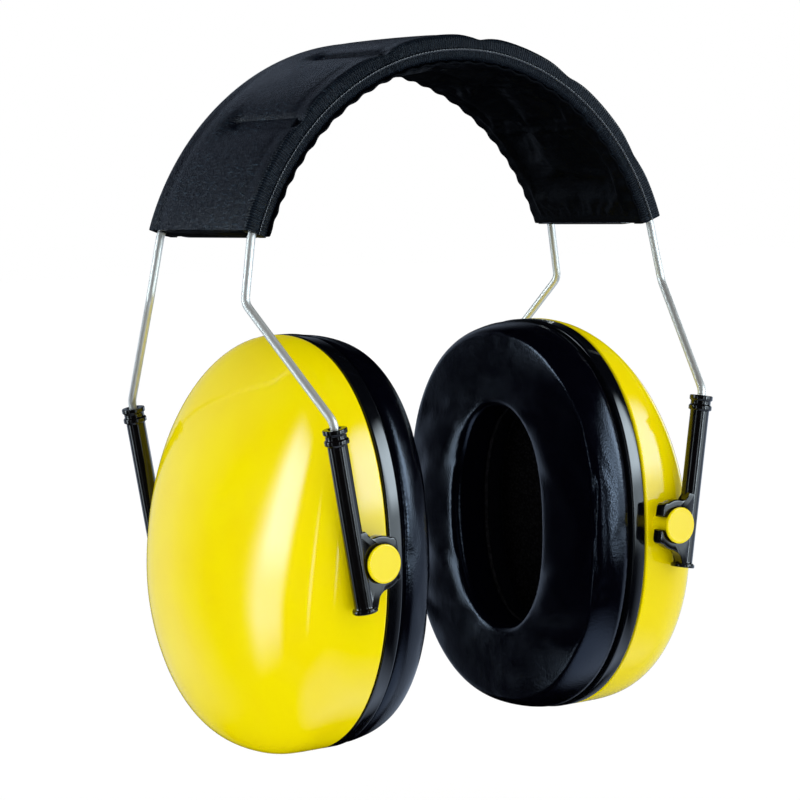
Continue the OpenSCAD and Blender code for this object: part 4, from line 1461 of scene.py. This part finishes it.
class EARMUFF_PT_panel(bpy.types.Panel):
    """Lists the steps that build the earmuff, and their settings"""
    bl_label = "Earmuff"
    bl_space_type = "VIEW_3D"
    bl_region_type = "UI"
    bl_category = "Earmuff"

    def draw(self, context):
        """A button for each step, and a box for each group of settings."""
        for step in STEPS:
            self.layout.operator(step.bl_idname)
        for key, group in GROUPS.items():
            box = self.layout.box()
            box.label(text=group.__name__)
            for setting in group.__annotations__:
                box.prop(getattr(context.scene, key), setting)


STEPS = (
    EARMUFF_OT_stage,
    EARMUFF_OT_outer_cover,
    EARMUFF_OT_lining,
    EARMUFF_OT_wires,
    EARMUFF_OT_holders,
    EARMUFF_OT_shells,
    EARMUFF_OT_absorbers,
    EARMUFF_OT_plates,
    EARMUFF_OT_cushions,
)


def register():
    """Registers the settings, the steps and the panel."""
    for group in GROUPS.values():
        bpy.utils.register_class(group)
    for key, group in GROUPS.items():
        setattr(bpy.types.Scene, key, PointerProperty(type=group))
    for step in STEPS + (EARMUFF_PT_panel,):
        bpy.utils.register_class(step)


def unregister():
    """Takes out all that register put in."""
    for step in STEPS + (EARMUFF_PT_panel,):
        bpy.utils.unregister_class(step)
    for key, group in GROUPS.items():
        delattr(bpy.types.Scene, key)
        bpy.utils.unregister_class(group)


def visible_points():
    """All points of the finished pieces that show, in the scene."""
    depsgraph = bpy.context.evaluated_depsgraph_get()
    found = []
    for thing in bpy.context.scene.objects:
        if thing.type != "MESH" or thing.hide_render or thing.name.startswith("stage"):
            continue
        found.append(points_of(thing.evaluated_get(depsgraph).to_mesh()))
        thing.evaluated_get(depsgraph).to_mesh_clear()
    return np.concatenate(found)


def write_points():
    """Works out how far in x and y each thing shows from its image point, and keeps nothing."""
    scene = bpy.context.scene
    stage, band, holders = scene.earmuff_stage, scene.earmuff_band, scene.earmuff_holders
    shown = in_picture(stage, visible_points())
    ends = {"object_left": (shown[:, 0].min(), None), "object_right": (shown[:, 0].max(), None),
            "object_top": (None, shown[:, 1].min()), "object_bottom": (None, shown[:, 1].max())}
    pivot = np.array(TILT["pos_m"])
    places = {}
    for side_name, side in SIDES.items():
        places[side_name + "_stud"] = np.array([side * pivot[0], -SHELL_BOX[1].y, 0])
        for end_name, end in ENDS.items():
            kink, top = wire_path(band, scene.earmuff_wires, holders, end)[1:]
            mouth = top - holders.mouth_gap * tube_axis(holders)
            places[f"{side_name}_{end_name}_kink"] = mirrored(kink, side)
            places[f"{side_name}_{end_name}_mouth"] = mirrored(mouth, side)
    for name, piece in (("edge_weld", "weld_bead_front"), ("lining_end_weld", "lining_end_welds"),
                        ("lining_groove", "headband_lining"), ("crown_groove", "headband_cover"),
                        ("second_groove", "headband_cover")):
        places[name] = on_surface(stage, name, bpy.data.objects[piece])
    for name in IMAGE_POINTS:
        at = ends[name] if name in ends else in_picture(stage, np.array(places[name]))[0]
        [None if want is None else round(float(have - want), 2)
                        for have, want in zip(at, IMAGE_POINTS[name])]


def write_sizes():
    """Works out the CAD's box and the visual model's box, as plain lists of numbers, and keeps nothing."""
    boxes = {"cad": CAD_BOX, "visual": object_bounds()}
    plain_boxes = {name: [[float(v) for v in corner] for corner in box] for name, box in boxes.items()}


def main():
    """Builds the whole earmuff, then works out how well it fits."""
    register()
    for step in STEPS:
        group, name = step.bl_idname.split(".")
        getattr(getattr(bpy.ops, group), name)()
    write_points()
    write_sizes()


if __name__ == "__main__":
    main()
